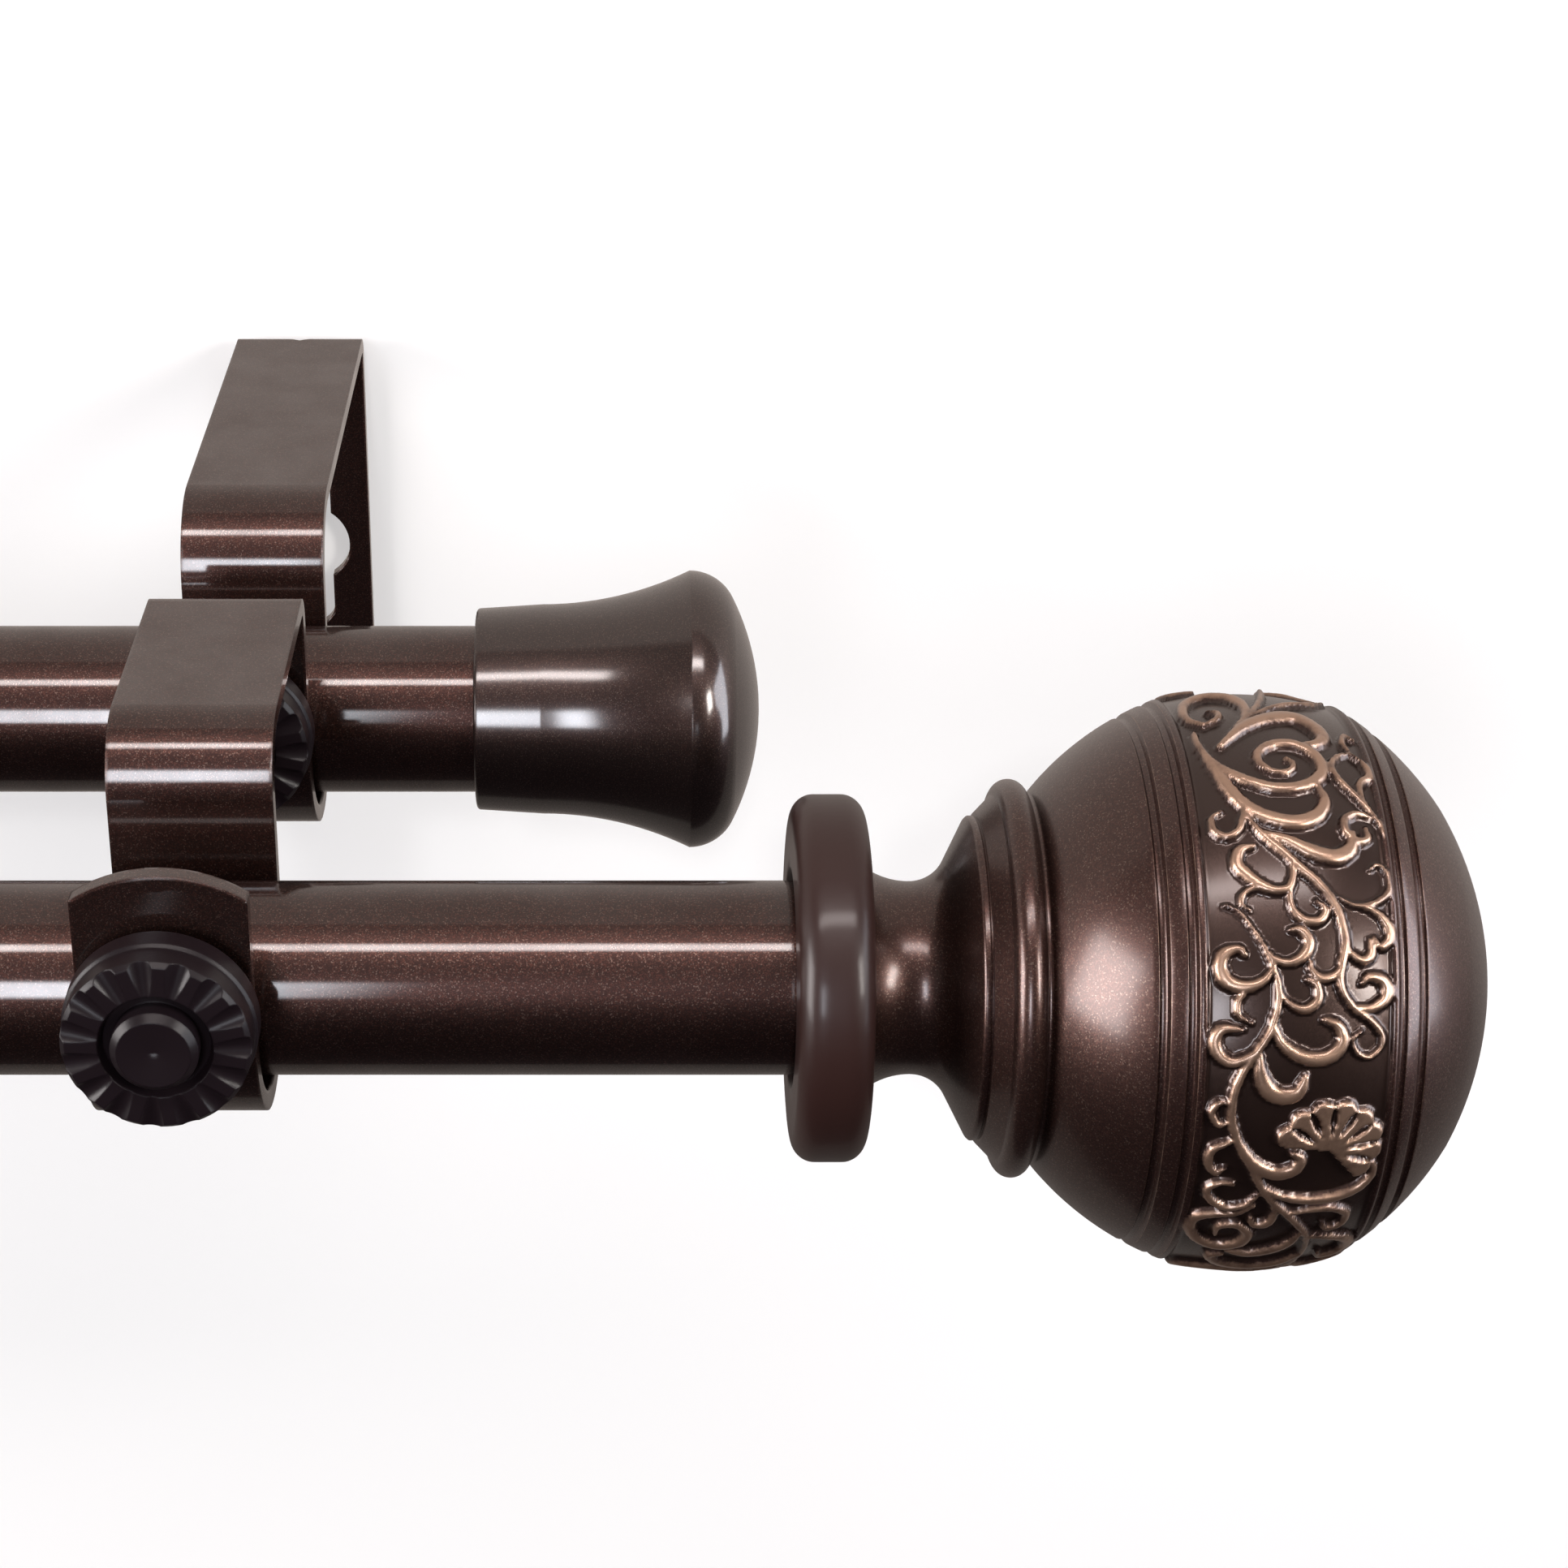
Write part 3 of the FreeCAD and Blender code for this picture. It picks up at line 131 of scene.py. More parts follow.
wall_look = wall_tree.nodes.new("ShaderNodeMixShader")
wall_tree.links.new(wall_rays.outputs["Is Glossy Ray"], wall_look.inputs[0])
wall_tree.links.new(wall_shader.outputs["BSDF"], wall_look.inputs[1])
wall_tree.links.new(wall_mirrored.outputs["Emission"], wall_look.inputs[2])
wall_side = wall_tree.nodes.new("ShaderNodeNewGeometry")
wall_clear = wall_tree.nodes.new("ShaderNodeBsdfTransparent")
wall_faces = wall_tree.nodes.new("ShaderNodeMixShader")
wall_tree.links.new(wall_side.outputs["Backfacing"], wall_faces.inputs[0])
wall_tree.links.new(wall_look.outputs["Shader"], wall_faces.inputs[1])
wall_tree.links.new(wall_clear.outputs["BSDF"], wall_faces.inputs[2])
wall_tree.links.new(wall_faces.outputs["Shader"], wall_tree.nodes["Material Output"].inputs["Surface"])
wall_mesh.materials.append(wall_paint)

# Studio
# The room is white to the camera. In reflections it is dark in front and below, and pale above.
# A long strip overhead, a window with soft edges at the front left, and soft lamps on both sides
# draw the highlights. A weak flash beside the camera lights the wall.
room_dark, room_dark_height = (0.032, 0.023, 0.025, 1.0), 0.25
room_pale, room_pale_height = (0.27, 0.235, 0.22, 1.0), 0.98
world = bpy.data.worlds.new("studio")
scene.world = world
world.use_nodes = True
room = world.node_tree
room_place = room.nodes.new("ShaderNodeTexCoord")
room_height = room.nodes.new("ShaderNodeSeparateXYZ")
room.links.new(room_place.outputs["Generated"], room_height.inputs["Vector"])
room_fade = room.nodes.new("ShaderNodeValToRGB")
room_fade.color_ramp.elements[0].position = room_dark_height
room_fade.color_ramp.elements[0].color = room_dark
room_fade.color_ramp.elements[1].position = room_pale_height
room_fade.color_ramp.elements[1].color = room_pale
room.links.new(room_height.outputs["Z"], room_fade.inputs["Fac"])
room_reflected = room.nodes["Background"]
room.links.new(room_fade.outputs["Color"], room_reflected.inputs["Color"])
room_seen = shader_node(room, "ShaderNodeBackground", Color=white)
room_rays = room.nodes.new("ShaderNodeLightPath")
room_mix = room.nodes.new("ShaderNodeMixShader")
room.links.new(room_rays.outputs["Is Camera Ray"], room_mix.inputs[0])
room.links.new(room_reflected.outputs["Background"], room_mix.inputs[1])
room.links.new(room_seen.outputs["Background"], room_mix.inputs[2])
room.links.new(room_mix.outputs["Shader"], room.nodes["World Output"].inputs["Surface"])

lit_spot = Vector((0.06, -0.15, 0.01))


def area_lamp(name, way, distance, width, height, power, colour):
    """A rectangular lamp that faces the poles' right end from a direction."""
    lamp = bpy.data.lights.new(name, "AREA")
    lamp.shape = "RECTANGLE"
    lamp.size = width
    lamp.size_y = height
    lamp.energy = power
    lamp.color = colour
    holder = bpy.data.objects.new(name, lamp)
    holder.location = lit_spot + Vector(way).normalized() * distance
    holder.rotation_euler = (-Vector(way)).to_track_quat("-Z", "Y").to_euler()
    holder.visible_camera = False
    scene.collection.objects.link(holder)
    return lamp


area_lamp("warm_strip", way=(0.03, -0.43, 0.90), distance=1.25, width=1.1, height=0.17,
          power=8.5, colour=(1.0, 0.91, 0.89))
window = area_lamp("cool_window", way=(-0.225, -0.95, 0.255), distance=1.25, width=0.36, height=0.48,
                   power=9.0, colour=(0.90, 0.93, 1.0))
area_lamp("left_softbox", way=(-0.927, -0.346, 0.140), distance=1.1, width=0.50, height=0.55,
          power=12.5, colour=(1.0, 0.95, 0.94))
area_lamp("right_softbox", way=(0.691, -0.623, 0.361), distance=1.2, width=0.22, height=0.42,
          power=7.5, colour=(1.0, 0.95, 0.90))
area_lamp("right_window", way=(0.97, -0.20, 0.17), distance=1.1, width=0.60, height=0.80,
          power=9.0, colour=(0.88, 0.92, 1.0))

# The window's light fades out over a share of its width and of its height at each edge
fade_across, fade_down = 0.36, 0.22
window_middle = 0.5
window.use_nodes = True
window_tree = window.node_tree
window_spot = window_tree.nodes.new("ShaderNodeNewGeometry")
window_axes = window_tree.nodes.new("ShaderNodeSeparateXYZ")
window_tree.links.new(window_spot.outputs["Parametric"], window_axes.inputs["Vector"])
window_glow = 1.0
for window_axis, window_fade in (("X", fade_across), ("Y", fade_down)):
    from_edge = math_node(window_tree, "PINGPONG", window_axes.outputs[window_axis], window_middle)
    window_blur = shader_node(window_tree, "ShaderNodeMapRange", From_Max=window_fade)
    window_blur.interpolation_type = "SMOOTHSTEP"
    window_tree.links.new(from_edge, window_blur.inputs["Value"])
    window_glow = math_node(window_tree, "MULTIPLY", window_blur.outputs["Result"], window_glow)
window_tree.links.new(window_glow, window_tree.nodes["Emission"].inputs["Strength"])

flash_tilt, flash_turn = math.radians(61.2), math.radians(-2.2)
flash = bpy.data.lights.new("flash", "SUN")
flash.energy = 0.45
flash.angle = math.radians(2.6)
flash_holder = bpy.data.objects.new("flash", flash)
flash_holder.rotation_euler = (flash_tilt, 0.0, flash_turn)
flash_holder.visible_glossy = False
scene.collection.objects.link(flash_holder)

# Tubes and brackets
# Steel tubes that slide in each other, on brackets bent from one steel strap. Both are sprayed
# with a metallic lacquer: dark cocoa full of fine red and gold flakes, under a clear coat that
# is thinner in cloudy patches.
flakes = bpy.data.node_groups.new("metal_flakes", "ShaderNodeTree")
for socket_name, socket_kind in (("Flake Size", "NodeSocketFloat"), ("Base", "NodeSocketColor"),
                                 ("Red Flake", "NodeSocketColor"), ("Gold Flake", "NodeSocketColor"),
                                 ("Tilt", "NodeSocketFloat"), ("Edge Round", "NodeSocketFloat")):
    flakes.interface.new_socket(socket_name, in_out="INPUT", socket_type=socket_kind)
flakes.interface.new_socket("Colour", in_out="OUTPUT", socket_type="NodeSocketColor")
flakes.interface.new_socket("Normal", in_out="OUTPUT", socket_type="NodeSocketVector")
flakes_in = flakes.nodes.new("NodeGroupInput")
flakes_out = flakes.nodes.new("NodeGroupOutput")
flake_place = flakes.nodes.new("ShaderNodeTexCoord")
flake_cells = flakes.nodes.new("ShaderNodeTexVoronoi")
flakes.links.new(flake_place.outputs["Object"], flake_cells.inputs["Vector"])
flakes.links.new(math_node(flakes, "DIVIDE", 1.0, flakes_in.outputs["Flake Size"]),
                 flake_cells.inputs["Scale"])

# Each flake is one cell. Its random colour says how red or gold the flake is.
flake_kind = flakes.nodes.new("ShaderNodeSeparateColor")
flakes.links.new(flake_cells.outputs["Color"], flake_kind.inputs["Color"])
flake_colour = flakes_in.outputs["Base"]
for flake_name, cell_channel, rare, rarest in (("Red Flake", "Red", 0.50, 0.98),
                                               ("Gold Flake", "Green", 0.88, 1.0)):
    flake_share = shader_node(flakes, "ShaderNodeMapRange", From_Min=rare, From_Max=rarest)
    flakes.links.new(flake_kind.outputs[cell_channel], flake_share.inputs["Value"])
    flake_mix = flakes.nodes.new("ShaderNodeMix")
    flake_mix.data_type = "RGBA"
    flakes.links.new(flake_share.outputs["Result"], flake_mix.inputs["Factor"])
    flakes.links.new(flake_colour, flake_mix.inputs["A"])
    flakes.links.new(flakes_in.outputs[flake_name], flake_mix.inputs["B"])
    flake_colour = flake_mix.outputs["Result"]
flakes.links.new(flake_colour, flakes_out.inputs["Colour"])

# The same random colour, less its middle, leans the flake out of the rounded surface
cell_middle = (0.5, 0.5, 0.5)
flake_lean = flakes.nodes.new("ShaderNodeVectorMath")
flake_lean.operation = "SUBTRACT"
flake_lean.inputs[1].default_value = cell_middle
flakes.links.new(flake_cells.outputs["Color"], flake_lean.inputs[0])
flake_tilt = flakes.nodes.new("ShaderNodeVectorMath")
flake_tilt.operation = "SCALE"
flakes.links.new(flake_lean.outputs["Vector"], flake_tilt.inputs["Vector"])
flakes.links.new(flakes_in.outputs["Tilt"], flake_tilt.inputs["Scale"])
flake_ground = flakes.nodes.new("ShaderNodeBevel")
flake_ground.samples = 4
flakes.links.new(flakes_in.outputs["Edge Round"], flake_ground.inputs["Radius"])
flake_sum = flakes.nodes.new("ShaderNodeVectorMath")
flake_sum.operation = "ADD"
flakes.links.new(flake_ground.outputs["Normal"], flake_sum.inputs[0])
flakes.links.new(flake_tilt.outputs["Vector"], flake_sum.inputs[1])
flake_unit = flakes.nodes.new("ShaderNodeVectorMath")
flake_unit.operation = "NORMALIZE"
flakes.links.new(flake_sum.outputs["Vector"], flake_unit.inputs[0])
flakes.links.new(flake_unit.outputs["Vector"], flakes_out.inputs["Normal"])


def spray_flakes(tree, shader, **values):
    """Colour a material's shader with the flakes, at its own values."""
    group = tree.nodes.new("ShaderNodeGroup")
    group.node_tree = flakes
    set_inputs(group, **values)
    tree.links.new(group.outputs["Normal"], shader.inputs["Normal"])
    tree.links.new(group.outputs["Colour"], shader.inputs["Base Color"])
    return group.outputs["Colour"]


def rounded_normal(tree, radius, samples=4):
    """The surface's normal with its edges rounded."""
    edges = shader_node(tree, "ShaderNodeBevel", Radius=radius)
    edges.samples = samples
    return edges.outputs["Normal"]


def noise_on_piece(tree, **values):
    """Noise that stays with the piece when it moves."""
    place = tree.nodes.new("ShaderNodeTexCoord")
    noise = shader_node(tree, "ShaderNodeTexNoise", **values)
    tree.links.new(place.outputs["Object"], noise.inputs["Vector"])
    return noise.outputs["Fac"]


def dress(material, *names):
    """Give CAD pieces their material."""
    for name in names:
        for place in nodes[name].material_slots:
            place.material = material


bronze_paint, bronze_tree, bronze_shader = new_material("bronze_paint")
spray_flakes(bronze_tree, bronze_shader, Flake_Size=0.00015, Base=(0.044, 0.024, 0.021, 1.0),
             Red_Flake=(0.095, 0.041, 0.032, 1.0), Gold_Flake=(0.17, 0.11, 0.09, 1.0),
             Tilt=0.07, Edge_Round=0.0007)
bronze_tree.links.new(rounded_normal(bronze_tree, radius=0.0007), bronze_shader.inputs["Coat Normal"])
set_inputs(bronze_shader, Metallic=1.0, Roughness=0.42, Coat_Roughness=0.06, Coat_IOR=1.6)
full_coat, thin_coat = 1.0, 0.72
bronze_clouds = noise_on_piece(bronze_tree, Scale=90.0, Detail=3.0, Roughness=0.6)
bronze_coat = shader_node(bronze_tree, "ShaderNodeMapRange", From_Min=0.35, From_Max=0.7,
                          To_Min=full_coat, To_Max=thin_coat)
bronze_tree.links.new(bronze_clouds, bronze_coat.inputs["Value"])
bronze_tree.links.new(bronze_coat.outputs["Result"], bronze_shader.inputs["Coat Weight"])
dress(bronze_paint, "front_outer_tube", "front_inner_tube", "back_outer_tube", "back_inner_tube",
      "right_bracket", "left_bracket")


# Thumb screws
# Moulded knobs in a satin plastic, almost black, on plated steel shanks with a cut thread. The
# studs that hold the finials are steel rods with a thread of their own.
def grain_normal(tree, grain, under, strength, distance):
    """The normal of a surface with a fine grain in relief on it."""
    bump = shader_node(tree, "ShaderNodeBump", Strength=strength, Distance=distance)
    tree.links.new(under, bump.inputs["Normal"])
    tree.links.new(grain, bump.inputs["Height"])
    return bump.outputs["Normal"]


knob_plastic, knob_tree, knob_shader = new_material("black_knob_plastic")
set_inputs(knob_shader, Base_Color=(0.008, 0.005, 0.0065, 1.0), Roughness=0.33, Specular_IOR_Level=0.25)
knob_grain = noise_on_piece(knob_tree, Scale=2600.0, Detail=4.0)
knob_edges = rounded_normal(knob_tree, radius=0.0003)
knob_tree.links.new(grain_normal(knob_tree, knob_grain, knob_edges, strength=0.25, distance=0.00004),
                    knob_shader.inputs["Normal"])

threads = bpy.data.node_groups.new("cut_thread", "ShaderNodeTree")
threads.interface.new_socket("Pitch", in_out="INPUT", socket_type="NodeSocketFloat")
threads.interface.new_socket("Along", in_out="INPUT", socket_type="NodeSocketFloat")
threads.interface.new_socket("Height", in_out="OUTPUT", socket_type="NodeSocketFloat")
threads_in = threads.nodes.new("NodeGroupInput")
threads_out = threads.nodes.new("NodeGroupOutput")
half_turn = 0.5
thread_turns = math_node(threads, "DIVIDE", threads_in.outputs["Along"], threads_in.outputs["Pitch"])
threads.links.new(math_node(threads, "PINGPONG", thread_turns, half_turn), threads_out.inputs["Height"])

plated_steel = (0.46, 0.44, 0.42, 1.0)
screws = [f"{side}_{row}" for side in ("right", "left") for row in ("front", "back")]
for steel_name, axis, pitch, steel_pieces in (
        ("screw_steel", "Y", 0.0008, [f"{screw}_screw_shank" for screw in screws]),
        ("stud_steel", "X", 0.00125, ["right_finial_stud", "left_finial_stud"])):
    steel, steel_tree, steel_shader = new_material(steel_name)
    set_inputs(steel_shader, Base_Color=plated_steel, Metallic=1.0, Roughness=0.3)
    steel_place = steel_tree.nodes.new("ShaderNodeTexCoord")
    steel_axes = steel_tree.nodes.new("ShaderNodeSeparateXYZ")
    steel_tree.links.new(steel_place.outputs["Object"], steel_axes.inputs["Vector"])
    steel_thread = steel_tree.nodes.new("ShaderNodeGroup")
    steel_thread.node_tree = threads
    steel_thread.inputs["Pitch"].default_value = pitch
    steel_tree.links.new(steel_axes.outputs[axis], steel_thread.inputs["Along"])
    steel_bump = shader_node(steel_tree, "ShaderNodeBump", Strength=1.0, Distance=pitch)
    steel_tree.links.new(steel_thread.outputs["Height"], steel_bump.inputs["Height"])
    steel_tree.links.new(steel_bump.outputs["Normal"], steel_shader.inputs["Normal"])
    dress(steel, *steel_pieces)
dress(knob_plastic, *(f"{screw}_knob" for screw in screws))

# Finial collars
# Turned discs with a rounded rim, sprayed in plain chocolate lacquer without flakes. The spray
# leaves a slight orange peel.
chocolate, chocolate_tree, chocolate_shader = new_material("chocolate_collar")
set_inputs(chocolate_shader, Base_Color=(0.023, 0.0095, 0.008, 1.0), Roughness=0.42,
           Specular_IOR_Level=0.3, Coat_Weight=0.25, Coat_Roughness=0.12)
chocolate_peel = noise_on_piece(chocolate_tree, Scale=420.0, Detail=3.0)
chocolate_round = rounded_normal(chocolate_tree, radius=0.003, samples=8)
chocolate_tree.links.new(
    grain_normal(chocolate_tree, chocolate_peel, chocolate_round, strength=0.3, distance=0.0001),
    chocolate_shader.inputs["Normal"])
chocolate_tree.links.new(chocolate_round, chocolate_shader.inputs["Coat Normal"])
dress(chocolate, "right_finial_collar", "left_finial_collar")

# Pole caps
# Turned end caps over the back pole's ends, in a satin bronze lacquer with very fine flakes.
# A clear coat rounds off the turning's edges.
cap_bronze, cap_tree, cap_shader = new_material("cap_bronze_finish")
spray_flakes(cap_tree, cap_shader, Flake_Size=0.00012, Base=(0.036, 0.023, 0.021, 1.0),
             Red_Flake=(0.062, 0.034, 0.028, 1.0), Gold_Flake=(0.12, 0.085, 0.07, 1.0),
             Tilt=0.08, Edge_Round=0.0003)
cap_tree.links.new(rounded_normal(cap_tree, radius=0.0003), cap_shader.inputs["Coat Normal"])
set_inputs(cap_shader, Metallic=1.0, Roughness=0.42, Coat_Weight=1.0, Coat_Roughness=0.15, Coat_IOR=1.7)
dress(cap_bronze, "right_pole_cap", "left_pole_cap")

# Finials
# A cast ball on a turned neck. A vine with a fan shell stands in low relief in a sunk band
# between two pairs of turned grooves. Its copper shows where the dark lacquer was rubbed off.
cast_bronze, cast_tree, cast_shader = new_material("cast_bronze_finish")
cast_flakes = spray_flakes(cast_tree, cast_shader, Flake_Size=0.00016, Base=(0.050, 0.025, 0.021, 1.0),
                           Red_Flake=(0.087, 0.041, 0.032, 1.0), Gold_Flake=(0.15, 0.10, 0.08, 1.0),
                           Tilt=0.06, Edge_Round=0.0)
set_inputs(cast_shader, Metallic=0.9, Roughness=0.37, Coat_Weight=0.7, Coat_Roughness=0.20)

# The mesh carries three masks: how high a point is or how far it is rubbed, where lacquer can be
# rubbed off at all, and the sunk ground. Noise breaks the rubbed places up.
ground_colour, copper_colour = (0.044, 0.025, 0.020, 1.0), (0.42, 0.27, 0.19, 1.0)
rub_spread = 1.1
rub_start, rub_full = 0.40, 0.95
relief = cast_tree.nodes.new("ShaderNodeAttribute")
relief.attribute_name = "relief"
relief_parts = cast_tree.nodes.new("ShaderNodeSeparateColor")
cast_tree.links.new(relief.outputs["Color"], relief_parts.inputs["Color"])
rub_patches = noise_on_piece(cast_tree, Scale=350.0, Detail=5.0, Roughness=0.65)
rub_limit = math_node(cast_tree, "MULTIPLY_ADD", rub_patches, rub_spread, -rub_spread / 2)
rub_sum = math_node(cast_tree, "ADD", relief_parts.outputs["Red"], rub_limit)
rubbed = shader_node(cast_tree, "ShaderNodeMapRange", From_Min=rub_start, From_Max=rub_full)
cast_tree.links.new(rub_sum, rubbed.inputs["Value"])
on_relief = math_node(cast_tree, "MULTIPLY", rubbed.outputs["Result"], relief_parts.outputs["Green"])
cast_colour = cast_flakes
for mask, mask_colour in ((relief_parts.outputs["Blue"], ground_colour), (on_relief, copper_colour)):
    cast_mix = cast_tree.nodes.new("ShaderNodeMix")
    cast_mix.data_type = "RGBA"
    cast_mix.inputs["B"].default_value = mask_colour
    cast_tree.links.new(mask, cast_mix.inputs["Factor"])
    cast_tree.links.new(cast_colour, cast_mix.inputs["A"])
    cast_colour = cast_mix.outputs["Result"]
cast_tree.links.new(cast_colour, cast_shader.inputs["Base Color"])

